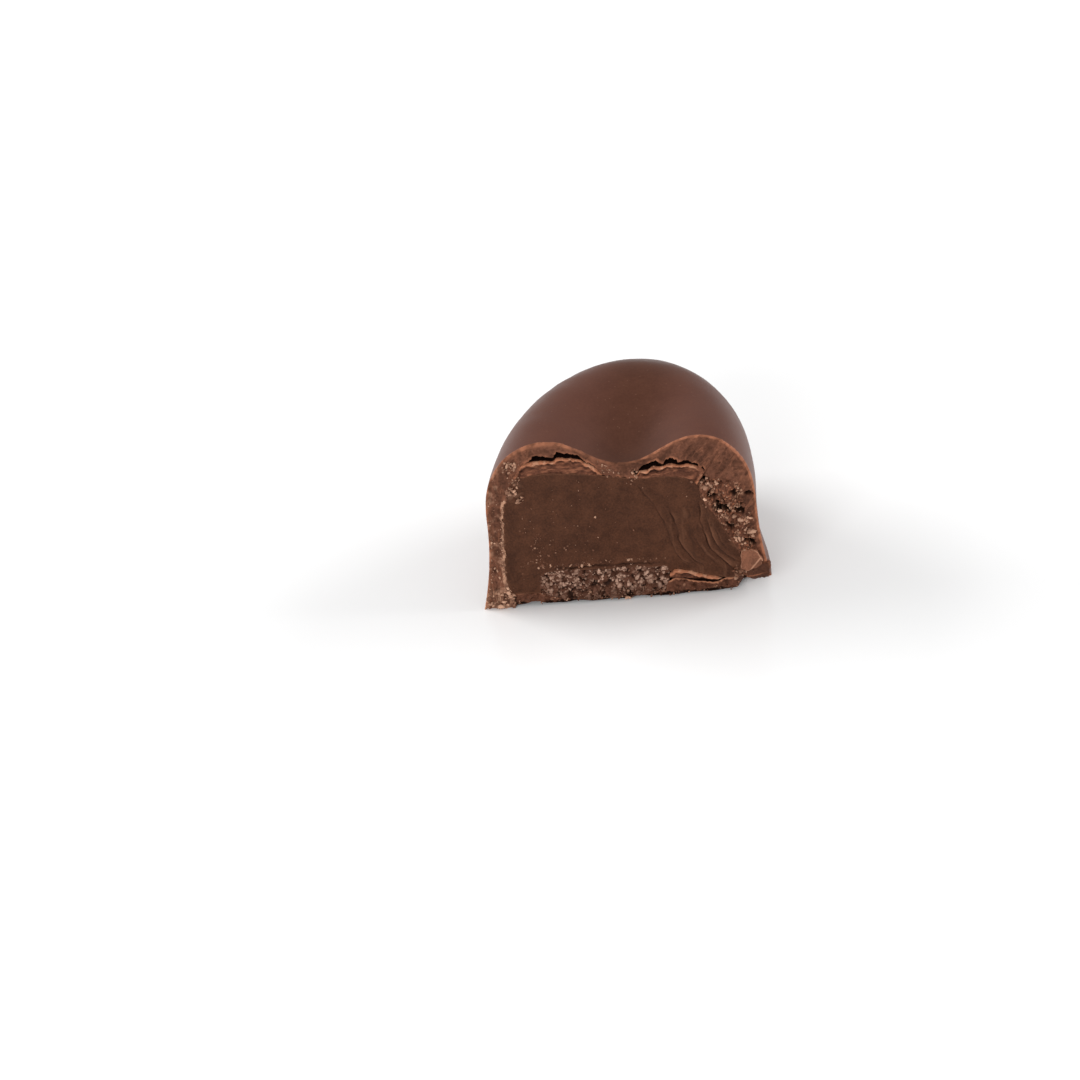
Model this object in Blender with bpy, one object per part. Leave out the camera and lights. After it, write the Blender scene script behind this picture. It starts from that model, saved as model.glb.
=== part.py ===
# Half of a moulded coffee-bean praline, cut across its middle with a knife.
# Metres, +Z up. The flat underside stands on z = 0 and the cut face looks along -Y.
# The shell, the three lobes of inner coat, the filling, the crisp layer and the base are separate solids.

import math

import bmesh
import bpy
from mathutils import Vector, noise

MM = 0.001

# From the middle of the whole bean to the frame's origin, which is in the middle of the half's footprint.
TO_ORIGIN = Vector((0.13, -8.7, 0.0)) * MM

# Driving dimensions of the whole bean, which the mould gives.
FOOT_HALF_WIDTH = 12.0 * MM
HALF_LENGTH = 19.0 * MM
CROWN_HEIGHT = 16.7 * MM  # of the dome as it would be without its groove
WALL_HEIGHT = 8.25 * MM  # where the steep wall turns into the dome
WALL_LEAN = 1.07 * MM  # how far the wall leans in over its height
DOME_SQUARENESS = 2.67
GROOVE_DEPTH = 3.6 * MM
GROOVE_HALF_WIDTH = 4.6 * MM
GROOVE_SQUARENESS = 2.2
GROOVE_OFFSET = 0.6 * MM
GROOVE_SKEW = 0.018  # sideways drift of the groove for each unit of length
GROOVE_REACH = 13.3 * MM

# Thicknesses, and the gap kept between solids that touch on the real sweet.
SHELL_WALL = 1.75 * MM
BASE_THICKNESS = 1.2 * MM
GAP = 0.28 * MM

# The knife went in slightly askew.
CUT_SKEW = math.tan(math.radians(7.7))
SOFT_SET_BACK = 0.06 * MM  # the soft filling gave way a little behind the hard shell
BELOW = 2.0 * MM  # how far cutters reach past the underside and round the bean

# The softer filling inside the shell. It leans away from the thick right wall.
FILLING_LEFT = 9.85 * MM
FILLING_RIGHT = 9.75 * MM
FILLING_RIGHT_LEAN = 0.33  # sideways for each unit of height
FILLING_LEAN = 0.64 * MM  # elsewhere, over its whole height
FILLING_CROWN = 12.3 * MM
FILLING_SHOULDER = 8.2 * MM
FILLING_RIGHT_TOP = 10.5 * MM
FILLING_SQUARENESS = 5.0
FILLING_TILT = -0.085  # the top falls to the right
FILLING_GROOVE = 0.12  # how much of the shell's groove the filling follows
FILLING_FOOT = BASE_THICKNESS + GAP

# The crisp layer between the filling and the base.
CRISP_LEFT = -7.05 * MM
CRISP_RIGHT = 3.6 * MM
CRISP_BOTTOM = 0.7 * MM
CRISP_TOP = 3.1 * MM
CRISP_LENGTH = 11.0 * MM
CRISP_LUMP = 0.16 * MM
CRISP_GRAIN = 0.9 * MM
CRISP_ROUNDING = 0.28

# The lobes of inner coat over the filling: middle, half width, reach and thickness of shell above.
LOBES = {
    "inner_coat_left": {
        "middle": -4.75 * MM,
        "half_width": 3.7 * MM,
        "reach": 11.0 * MM,
        "shell_above": 1.35 * MM,
    },
    "inner_coat_right": {
        "middle": 4.2 * MM,
        "half_width": 2.6 * MM,
        "reach": 9.5 * MM,
        "shell_above": 2.05 * MM,
    },
}
LOBE_LEAST_THICKNESS = 0.55 * MM
LOBE_SQUARENESS = 6  # how far a lens keeps its thickness towards its rim
LOBE_END_ROOM = 3.0  # a lens tapers slowly towards its ends, so its room is longer by this many gaps
LOBE_OVERLAP = 1.2 * MM  # how far the room for a lobe reaches down into the hollow, to open it cleanly

# The lobe of inner coat under the filling, right of the crisp layer. It thins to the right.
FOOT_LOBE = {
    "middle": 5.55 * MM,
    "half_width": 1.85 * MM,
    "reach": 9.0 * MM,
    "bottom": 1.55 * MM,
    "top_left": 2.55 * MM,
    "top_right": 1.95 * MM,
}

# What the knife and the break did to the cut face. A pair is where an effect starts and where it is full.
WAVER = {"depth": 0.10 * MM, "grain": 3.1 * MM}
CRUMBLE = {
    "depth": 0.42 * MM,
    "grain": 0.73 * MM,
    "past_filling": (-0.3 * MM, 0.7 * MM),
    "up_to_z": (11.8 * MM, 10.2 * MM),
}
SMEAR = {"depth": 0.07 * MM, "wave": 0.42 * MM, "slant": 0.35, "from_x": (3.0 * MM, 5.0 * MM)}
SMEAR_SHORT_OF_EDGE = (0.0, -0.5 * MM)
BROKEN_FOOT = {"depth": 1.9 * MM, "from_x": (8.9 * MM, 9.9 * MM), "up_to_z": (1.5 * MM, 0.7 * MM)}
WORN_BASE = {"depth": 0.45 * MM, "from_x": (-9.8 * MM, -9.2 * MM), "up_to_z": (0.9 * MM, 0.2 * MM)}

# The pale splinter of shell that stands out low on the right of the cut, and smaller crags near it.
SPLINTER = {"x": 10.15 * MM, "z": 3.05 * MM, "size": 1.05 * MM}
CRAGS = (
    {"x": 8.95 * MM, "z": 5.0 * MM, "size": 0.55 * MM},
    {"x": 10.2 * MM, "z": 5.7 * MM, "size": 0.62 * MM},
    {"x": 7.9 * MM, "z": 7.4 * MM, "size": 0.6 * MM},
    {"x": 7.5 * MM, "z": 10.3 * MM, "size": 0.5 * MM},
    {"x": 9.9 * MM, "z": 7.9 * MM, "size": 0.5 * MM},
)

FRAGMENT_JAG = 0.38
FRAGMENT_FLATNESS = 0.75
FRAGMENT_SUNK = 0.25

# Mesh fineness. The poles of the domes stand halfway along the kept half, clear of the cut.
MESH_POLE = 0.5 * HALF_LENGTH
OUTSIDE = {"around": 88, "dome": 15, "wall": 4}
INSIDE = {"around": 56, "dome": 8, "wall": 3}
KNIFE_PITCH = 0.62 * MM
CRISP_CUTS = 10
LENS = {"around": 36, "rings": 14}
SHARP_ANGLE = math.radians(35.0)

COLOURS = {
    "milk_chocolate": (0.115, 0.050, 0.034, 1.0),
    "inner_chocolate": (0.165, 0.070, 0.042, 1.0),
    "filling": (0.080, 0.034, 0.021, 1.0),
    "crisp": (0.180, 0.102, 0.076, 1.0),
    "base_chocolate": (0.125, 0.053, 0.033, 1.0),
}


def clear_scene():
    for obj in list(bpy.data.objects):
        bpy.data.objects.remove(obj, do_unlink=True)


def new_collection(name):
    made = bpy.data.collections.new(name)
    bpy.context.scene.collection.children.link(made)
    return made


def chocolate(name, roughness):
    made = bpy.data.materials.new(name)
    made.use_nodes = True
    shader = made.node_tree.nodes["Principled BSDF"]
    shader.inputs["Base Color"].default_value = COLOURS[name]
    shader.inputs["Roughness"].default_value = roughness
    shader.inputs["Metallic"].default_value = 0.0
    return made


def clamp(value, low=0.0, high=1.0):
    return max(low, min(high, value))


def ease(value, pair):
    """0 at the pair's first value, 1 at its second, smooth between them. The second may be the lower."""
    start, full = pair
    t = clamp((value - start) / (full - start))
    return t * t * (3.0 - 2.0 * t)


def groove(x, y):
    """Depth of the bean's groove, deepest at the cut and gone before the end."""
    along = clamp(abs(y) / GROOVE_REACH)
    fade = (1.0 - along * along) ** 2
    across = abs(x - GROOVE_OFFSET - GROOVE_SKEW * y) / GROOVE_HALF_WIDTH
    return GROOVE_DEPTH * math.exp(-(across**GROOVE_SQUARENESS)) * fade


def dome(x, y, left, right, length, shoulder, crown, squareness):
    """Height of a superelliptic dome over an oval plan, level with the shoulder at the plan's edge."""
    half = right if x > 0 else left
    rho = clamp(math.hypot(x / half, y / length))
    return shoulder + (crown - shoulder) * (1.0 - rho**squareness) ** (1.0 / squareness)


def outer_top(x, y):
    half = FOOT_HALF_WIDTH - WALL_LEAN
    length = HALF_LENGTH - WALL_LEAN
    return dome(x, y, half, half, length, WALL_HEIGHT, CROWN_HEIGHT, DOME_SQUARENESS) - groove(x, y)


def filling_top(x, y, grown=0.0):
    """Top of the filling, flatter than the shell and a little lower on the right."""
    right = FILLING_RIGHT - FILLING_RIGHT_LEAN * FILLING_SHOULDER
    length = HALF_LENGTH - SHELL_WALL - WALL_LEAN
    left = FILLING_LEFT + grown
    top = dome(x, y, left, right + grown, length + grown, FILLING_SHOULDER, FILLING_CROWN, FILLING_SQUARENESS)
    return top + FILLING_TILT * x - FILLING_GROOVE * groove(x, y) + grown


def bean_solid(name, collection, plan, top, wall_height, foot, fineness=INSIDE):
    """A closed bean. A UV sphere's rings become the dome, the wall and the flat foot.

    plan(x sign, height) gives the half width and the half length at a height.
    top(x, y) gives the dome's height.
    """
    dome_rings, wall_rings = fineness["dome"], fineness["wall"]
    rings = dome_rings + wall_rings
    bm = bmesh.new()
    bmesh.ops.create_uvsphere(bm, u_segments=fineness["around"], v_segments=rings + 1, radius=1.0)
    for vert in bm.verts:
        polar = math.acos(clamp(vert.co.z, -1.0, 1.0))
        ring = round(polar / math.pi * (rings + 1))
        azimuth = math.atan2(vert.co.y, vert.co.x)
        on_axis = ring in (0, rings + 1)
        across = 0.0 if on_axis else math.cos(azimuth)
        along = 0.0 if on_axis else math.sin(azimuth)
        if ring <= dome_rings:
            rho = math.sin(0.5 * math.pi * ring / dome_rings)
            half, length = plan(across, wall_height)
            x, y = rho * half * across, rho * length * along + (1.0 - rho) * MESH_POLE
            vert.co = (x, y, top(x, y))
        else:
            share = min(1.0, (ring - dome_rings) / wall_rings)
            z = wall_height + (foot - wall_height) * share
            half, length = plan(across, z)
            vert.co = (half * across, MESH_POLE if on_axis else length * along, z)
    mesh = bpy.data.meshes.new(name)
    bmesh.ops.recalc_face_normals(bm, faces=bm.faces)
    bm.to_mesh(mesh)
    bm.free()
    return put(name, mesh, collection)


def put(name, mesh, collection):
    """An object for a mesh that was worked out from the middle of the whole bean."""
    obj = bpy.data.objects.new(name, mesh)
    obj.location = TO_ORIGIN
    collection.objects.link(obj)
    return obj


def as_cutter(obj):
    obj.hide_render = True
    obj.display_type = "WIRE"
    return obj


def cut(obj, cutter):
    modifier = obj.modifiers.new("cut_" + cutter.name, "BOOLEAN")
    modifier.operation = "DIFFERENCE"
    modifier.solver = "EXACT"
    modifier.object = cutter
    return obj


def outer_plan(across, z):
    rise = clamp(z / WALL_HEIGHT)
    lean = WALL_LEAN * (2.0 * rise - rise * rise)
    return FOOT_HALF_WIDTH - lean, HALF_LENGTH - lean


def filling_plan(grown):
    def plan(across, z):
        rise = clamp(z / WALL_HEIGHT)
        lean = FILLING_LEAN * rise
        if across > 0:
            half = FILLING_RIGHT - FILLING_RIGHT_LEAN * max(0.0, z)
        else:
            half = FILLING_LEFT - lean
        return half + grown, HALF_LENGTH - SHELL_WALL - lean + grown

    return plan


def base_plan(across, z):
    return FOOT_HALF_WIDTH - SHELL_WALL, HALF_LENGTH - SHELL_WALL


def pocket_plan(across, z):
    half, length = base_plan(across, z)
    return half + GAP, length + GAP


def lobe_top(x, y, lobe):
    """Top of the inner coat: the shell's own bump, lowered by the shell's thickness."""
    lowered = outer_top(x, y) - lobe["shell_above"]
    return max(lowered, filling_top(x, y) + GAP + LOBE_LEAST_THICKNESS)


def lens_solid(name, lobe, collection, low, high, grown=0.0):
    """A lens between the heights low(x, y) and high(x, y), closed round its rim."""
    bm = bmesh.new()
    bmesh.ops.create_uvsphere(bm, u_segments=LENS["around"], v_segments=LENS["rings"], radius=1.0)
    for vert in bm.verts:
        across, along = vert.co.x, vert.co.y
        rho = clamp(math.hypot(across, along))
        x = lobe["middle"] + across * (lobe["half_width"] + grown)
        y = along * (lobe["reach"] + LOBE_END_ROOM * grown) + (1.0 - rho) * 0.5 * MESH_POLE
        bottom, top = low(x, y), high(x, y)
        half = 0.5 * (top - bottom) * math.sqrt(1.0 - rho**LOBE_SQUARENESS)
        vert.co = (x, y, 0.5 * (bottom + top) + math.copysign(half, vert.co.z))
    bmesh.ops.recalc_face_normals(bm, faces=bm.faces)
    mesh = bpy.data.meshes.new(name)
    bm.to_mesh(mesh)
    bm.free()
    return put(name, mesh, collection)


def top_lobe(name, lobe, collection):
    return lens_solid(
        name,
        lobe,
        collection,
        lambda x, y: filling_top(x, y) + GAP,
        lambda x, y: lobe_top(x, y, lobe),
    )


def top_lobe_room(name, lobe, collection):
    """The space that the shell leaves for a lobe, open to the hollow below it."""
    return lens_solid(
        name,
        lobe,
        collection,
        lambda x, y: filling_top(x, y) - LOBE_OVERLAP,
        lambda x, y: lobe_top(x, y, lobe) + GAP,
        grown=GAP,
    )


def foot_lobe_top(x, y):
    start = FOOT_LOBE["middle"] - FOOT_LOBE["half_width"]
    share = (x - start) / (2.0 * FOOT_LOBE["half_width"])
    return FOOT_LOBE["top_left"] + (FOOT_LOBE["top_right"] - FOOT_LOBE["top_left"]) * share


def foot_lobe(name, collection):
    return lens_solid(name, FOOT_LOBE, collection, lambda x, y: FOOT_LOBE["bottom"], foot_lobe_top)


def foot_lobe_room(name, collection):
    """The space that the filling leaves for the foot lobe, open to the base below it."""
    return lens_solid(
        name,
        FOOT_LOBE,
        collection,
        lambda x, y: FOOT_LOBE["bottom"] - GAP,
        lambda x, y: foot_lobe_top(x, y) + GAP,
        grown=GAP,
    )


def crisp_solid(name, collection, grown=0.0):
    """The crisp layer: a block with rounded corners and lumps the size of its grains."""
    low = Vector((CRISP_LEFT - grown, -CRISP_LENGTH, CRISP_BOTTOM - grown))
    high = Vector((CRISP_RIGHT + grown, CRISP_LENGTH + grown, CRISP_TOP + grown))
    bm = bmesh.new()
    bmesh.ops.create_cube(bm, size=2.0)
    bmesh.ops.subdivide_edges(bm, edges=bm.edges, cuts=CRISP_CUTS, use_grid_fill=True)
    for vert in bm.verts:
        # Squeezing the cube towards a ball rounds its corners.
        rounded = vert.co.normalized() * max(abs(vert.co.x), abs(vert.co.y), abs(vert.co.z))
        shape = vert.co.lerp(rounded, CRISP_ROUNDING)
        place = Vector((0.5 * (1.0 + shape[axis]) for axis in range(3)))
        vert.co = Vector((low[axis] + place[axis] * (high[axis] - low[axis]) for axis in range(3)))
        if grown == 0.0:
            lump = noise.noise(vert.co / CRISP_GRAIN) * CRISP_LUMP
            vert.co += vert.co.normalized() * lump
    bmesh.ops.recalc_face_normals(bm, faces=bm.faces)
    mesh = bpy.data.meshes.new(name)
    bm.to_mesh(mesh)
    bm.free()
    return put(name, mesh, collection)


def hollow_top(x, y):
    return filling_top(x, y, GAP)


def filling_edge(z):
    """Where the filling meets the thick right wall at a height."""
    return FILLING_RIGHT - FILLING_RIGHT_LEAN * clamp(z, 0.0, FILLING_RIGHT_TOP)


def crumble(x, z):
    """Crags of the thick right wall, which broke instead of being cut."""
    place = Vector((x, 0.0, z)) / CRUMBLE["grain"] + Vector((7.0, 3.0, 1.0))
    in_wall = ease(x - filling_edge(z), CRUMBLE["past_filling"]) * ease(z, CRUMBLE["up_to_z"])
    return CRUMBLE["depth"] * noise.noise(place) * in_wall


def smear(x, z):
    """Drag marks of the knife in the right part of the filling."""
    wave = math.sin((x + SMEAR["slant"] * z) / SMEAR["wave"])
    in_filling = ease(x - filling_edge(z), SMEAR_SHORT_OF_EDGE)
    return SMEAR["depth"] * wave * ease(x, SMEAR["from_x"]) * in_filling


def worn(x, z, wear):
    return wear["depth"] * ease(x, wear["from_x"]) * ease(z, wear["up_to_z"])


def cut_depth(x, z):
    """How far back the cut surface lies at a place on it: the knife's skew, its waver and what broke away."""
    waver = WAVER["depth"] * noise.noise(Vector((x, 0.0, z)) / WAVER["grain"])
    lost = worn(x, z, BROKEN_FOOT) + worn(x, z, WORN_BASE)
    return x * CUT_SKEW + waver + crumble(x, z) + smear(x, z) + lost


def knife(name, collection, set_back=0.0):
    """Everything in front of the cut: a gridded sheet shaped by cut_depth, extruded forwards."""
    half_width, bottom, top = FOOT_HALF_WIDTH + BELOW, -BELOW, CROWN_HEIGHT + BELOW
    columns = round(2.0 * half_width / KNIFE_PITCH)
    rows = round((top - bottom) / KNIFE_PITCH)
    bm = bmesh.new()
    bmesh.ops.create_grid(bm, x_segments=columns, y_segments=rows, size=1.0)
    for vert in bm.verts:
        x = vert.co.x * half_width
        z = bottom + 0.5 * (vert.co.y + 1.0) * (top - bottom)
        vert.co = (x, cut_depth(x, z) + set_back, z)
    grown = bmesh.ops.extrude_face_region(bm, geom=bm.faces[:])
    for vert in grown["geom"]:
        if isinstance(vert, bmesh.types.BMVert):
            vert.co.y = -2.0 * HALF_LENGTH
    bmesh.ops.recalc_face_normals(bm, faces=bm.faces)
    mesh = bpy.data.meshes.new(name)
    bm.to_mesh(mesh)
    bm.free()
    return as_cutter(put(name, mesh, collection))


def fragment(name, spot, collection, seed, subdivisions):
    """A broken crumb that stands out of the cut: an icosphere with uneven, flattened sides."""
    bm = bmesh.new()
    bmesh.ops.create_icosphere(bm, subdivisions=subdivisions, radius=1.0)
    for vert in bm.verts:
        jag = 1.0 + FRAGMENT_JAG * noise.noise(vert.co * 1.7 + Vector((seed, 2.0 * seed, 0.5)))
        vert.co = Vector((vert.co.x, FRAGMENT_FLATNESS * vert.co.y, vert.co.z)) * jag * spot["size"]
        depth = cut_depth(spot["x"], spot["z"]) + FRAGMENT_SUNK * spot["size"]
        vert.co += Vector((spot["x"], depth, spot["z"]))
    mesh = bpy.data.meshes.new(name)
    bm.to_mesh(mesh)
    bm.free()
    return put(name, mesh, collection)


def join_fragments(obj, helpers):
    """One Boolean union of the shell with all its fragments, applied, after which they are removed."""
    modifier = obj.modifiers.new("fragments", "BOOLEAN")
    modifier.operation = "UNION"
    modifier.operand_type = "COLLECTION"
    modifier.collection = helpers
    modifier.solver = "EXACT"
    graph = bpy.context.evaluated_depsgraph_get()
    mesh = bpy.data.meshes.new_from_object(obj.evaluated_get(graph))
    obj.modifiers.clear()
    obj.data = mesh
    for helper in list(helpers.objects):
        bpy.data.objects.remove(helper, do_unlink=True)


def main():
    clear_scene()
    praline = new_collection("coffee_bean_praline")
    cutters = new_collection("cutters")
    fragments = new_collection("fragments")

    blade = knife("knife", cutters)
    soft_blade = knife("soft_knife", cutters, set_back=SOFT_SET_BACK)
    inside_base = 0.5 * BASE_THICKNESS
    hollow = bean_solid("hollow", cutters, filling_plan(GAP), hollow_top, FILLING_SHOULDER, inside_base)
    pocket_depth = BASE_THICKNESS + GAP
    pocket = bean_solid("base_pocket", cutters, pocket_plan, lambda x, y: pocket_depth, pocket_depth, -BELOW)
    crisp_room = crisp_solid("crisp_room", cutters, grown=GAP + CRISP_LUMP)
    foot_room = foot_lobe_room("foot_room", cutters)
    for cutter in (hollow, pocket, crisp_room, foot_room):
        as_cutter(cutter)

    shell = bean_solid("shell", praline, outer_plan, outer_top, WALL_HEIGHT, 0.0, OUTSIDE)
    cut(shell, hollow)
    cut(shell, pocket)
    for name, lobe in LOBES.items():
        cut(shell, as_cutter(top_lobe_room(name + "_room", lobe, cutters)))
    cut(shell, blade)
    fragment("splinter", SPLINTER, fragments, 1.0, 2)
    for number, crag in enumerate(CRAGS):
        fragment(f"crag_{number}", crag, fragments, 3.1 + number, 1)
    join_fragments(shell, fragments)
    shell.data.materials.append(chocolate("milk_chocolate", 0.38))

    lobes = [top_lobe(name, lobe, praline) for name, lobe in LOBES.items()]
    lobes.append(foot_lobe("inner_coat_foot", praline))
    inner_chocolate = chocolate("inner_chocolate", 0.6)
    for lobe in lobes:
        cut(lobe, blade)
        lobe.data.materials.append(inner_chocolate)

    filling = bean_solid("filling", praline, filling_plan(0.0), filling_top, FILLING_SHOULDER, FILLING_FOOT)
    cut(filling, crisp_room)
    cut(filling, foot_room)
    cut(filling, soft_blade)
    filling.data.materials.append(chocolate("filling", 0.55))

    crisp = crisp_solid("crisp_layer", praline)
    cut(crisp, blade)
    crisp.data.materials.append(chocolate("crisp", 0.75))

    base = bean_solid("base", praline, base_plan, lambda x, y: BASE_THICKNESS, BASE_THICKNESS, 0.0)
    cut(base, crisp_room)
    cut(base, blade)
    base.data.materials.append(chocolate("base_chocolate", 0.55))

    for obj in praline.objects:
        obj.data.shade_smooth()
        obj.data.set_sharp_from_angle(angle=SHARP_ANGLE)


main()
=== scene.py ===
import math

import bmesh
import bpy
import numpy as np
from mathutils import Matrix, Vector


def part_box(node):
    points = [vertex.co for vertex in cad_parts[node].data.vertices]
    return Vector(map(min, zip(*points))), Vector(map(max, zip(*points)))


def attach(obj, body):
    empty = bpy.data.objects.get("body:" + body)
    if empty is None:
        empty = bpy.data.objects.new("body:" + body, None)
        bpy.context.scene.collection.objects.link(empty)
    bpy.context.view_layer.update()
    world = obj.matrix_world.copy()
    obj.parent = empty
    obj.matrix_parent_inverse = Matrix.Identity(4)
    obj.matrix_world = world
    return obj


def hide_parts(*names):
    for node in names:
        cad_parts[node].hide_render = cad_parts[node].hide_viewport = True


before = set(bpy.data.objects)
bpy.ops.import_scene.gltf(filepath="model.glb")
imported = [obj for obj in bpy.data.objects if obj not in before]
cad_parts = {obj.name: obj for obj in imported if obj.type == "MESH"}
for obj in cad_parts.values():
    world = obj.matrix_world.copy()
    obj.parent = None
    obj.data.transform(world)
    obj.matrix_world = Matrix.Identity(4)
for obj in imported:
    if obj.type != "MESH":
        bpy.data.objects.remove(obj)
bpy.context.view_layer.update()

# One half of a moulded coffee-bean praline, cut across with a knife.
# Shapes are worked out in millimetres from the middle of the whole bean: x across the cut,
# y from the cut back into the half, z up. metres() moves them into the frame.

shellLow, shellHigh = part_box("shell")
mm = 0.001

bean = {
    "halfWidth": 12.0,
    "halfLength": 19.0,
    "crown": 16.7,  # of the dome without its groove
    "wall": 8.25,  # where the steep wall turns into the dome
    "lean": 1.07,  # how far the wall leans in over its height
    "square": 2.67,  # the power that bends the dome
    "grooveDepth": 3.6,
    "grooveWidth": 4.6,
    "grooveSquare": 2.2,
    "grooveAt": 0.6,
    "grooveSkew": 0.018,  # how it wanders along the bean
    "grooveReach": 13.3,
    "cutSkew": math.tan(math.radians(7.7)),
}
beanShift = np.array(
    [shellLow.x / mm + bean["halfWidth"], shellHigh.y / mm - bean["halfLength"], 0.0]
)


def metres(points):
    return (points + beanShift) * mm


def ease(value, start, full):
    # 0 at start, 1 at full, along 3t^2 - 2t^3 between them
    t = np.clip((value - start) / (full - start), 0.0, 1.0)
    return t * t * (3.0 - 2.0 * t)


def blend(a, b, share):
    return a + (b - a) * share


def bell(value, width):
    # exp(-(value / width)^2)
    return np.exp(-((value / width) ** 2))


# Noise, as whole arrays

stir = (73856093, 19349663, 83492791, 668265263, 739982445, 295559667)
low32 = 0xFFFFFFFF


def latticeValue(i, j, k, seed):
    # whole numbers and a seed, multiplied and folded into one number from 0 to 1
    h = ((i * stir[0]) ^ (j * stir[1]) ^ (k * stir[2]) ^ (seed * stir[3])) & low32
    h = ((h ^ (h >> 15)) * stir[4]) & low32
    h = ((h ^ (h >> 12)) * stir[5]) & low32
    return ((h ^ (h >> 15)) & 0xFFFFFF) / float(0x1000000)


def waves(x, y, z, size, seed):
    # lattice values blended along each axis by 6t^5 - 15t^4 + 10t^3, from -1 to 1
    x, y, z = np.broadcast_arrays(x, y, z)
    place = [np.asarray(c, float) / size for c in (x, y, z)]
    base = [np.floor(c).astype(np.int64) for c in place]
    part = [c - b for c, b in zip(place, base)]
    soft = [t * t * t * (t * (6.0 * t - 15.0) + 10.0) for t in part]
    total = 0.0
    for a in (0, 1):
        for b in (0, 1):
            for c in (0, 1):
                weight = (
                    (soft[0] if a else 1.0 - soft[0])
                    * (soft[1] if b else 1.0 - soft[1])
                    * (soft[2] if c else 1.0 - soft[2])
                )
                total = total + weight * latticeValue(base[0] + a, base[1] + b, base[2] + c, seed)
    return 2.0 * total - 1.0


def layered(x, z, size, seed, octaves=3):
    # waves at size, half of it and so on, each half as strong
    total, strength, norm = 0.0, 1.0, 0.0
    for octave in range(octaves):
        turned = (0.8 * x + 0.6 * z, -0.6 * x + 0.8 * z) if octave % 2 else (x, z)
        total = total + strength * waves(turned[0], 0.0, turned[1], size, seed + octave)
        norm += strength
        strength *= 0.5
        size *= 0.5
    return total / norm * 1.6


def cells(x, z, size, seed):
    # one jittered point in each square. Gives the distance to the nearest, its number from 0 to 1, and
    # facets: every point's own height plus its own slopes times the way from it, weighed by exp(-14 far)
    u, w = x / size, z / size
    iu, iw = np.floor(u).astype(np.int64), np.floor(w).astype(np.int64)
    near, number = np.full(u.shape, 9.0), np.zeros(u.shape)
    facet, weights = np.zeros(u.shape), np.zeros(u.shape)
    for a in (-1, 0, 1):
        for b in (-1, 0, 1):
            own = [latticeValue(iu + a, iw + b, k, seed) for k in range(1, 6)]
            du, dw = u - iu - a - own[0], w - iw - b - own[1]
            far = np.hypot(du, dw)
            weight = np.exp(-14.0 * far)
            facet += weight * (own[2] - 0.5 + 1.7 * ((own[3] - 0.5) * du + (own[4] - 0.5) * dw))
            weights += weight
            number = np.where(far < near, own[2], number)
            near = np.minimum(near, far)
    return near, number, facet / weights


# Curves on the cut face

def curveThrough(points, count):
    # Catmull-Rom through the points, then evenly spaced by length
    p = np.asarray(points, float)
    p = np.vstack([2.0 * p[0] - p[1], p, 2.0 * p[-1] - p[-2]])
    q = np.linspace(0.0, len(p) - 3.0, 40 * len(p))
    i = np.minimum(q.astype(int), len(p) - 4)
    t = (q - i)[:, None]
    a, b, c, d = p[i], p[i + 1], p[i + 2], p[i + 3]
    dense = 0.5 * (
        2.0 * b + (c - a) * t + (2.0 * a - 5.0 * b + 4.0 * c - d) * t**2 + (3.0 * b - a - 3.0 * c + d) * t**3
    )
    run = np.concatenate([[0.0], np.cumsum(np.linalg.norm(np.diff(dense, axis=0), axis=1))])
    even = np.linspace(0.0, run[-1], count)
    return np.stack([np.interp(even, run, dense[:, k]) for k in (0, 1)], axis=1)


def frayed(points):
    # one shift for every edge at a place, so layers that touch stay together; none on the floor
    x, z = points[:, 0], points[:, 1]
    shift = np.stack([
        0.05 * waves(x, 0.0, z, 0.5, 91) + 0.03 * waves(x, 0.0, z, 0.2, 92),
        0.05 * waves(x, 4.0, z, 0.5, 93) + 0.03 * waves(x, 4.0, z, 0.2, 94),
    ], axis=1)
    return points + shift * ease(z, 0.0, 0.35)[:, None]


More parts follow.
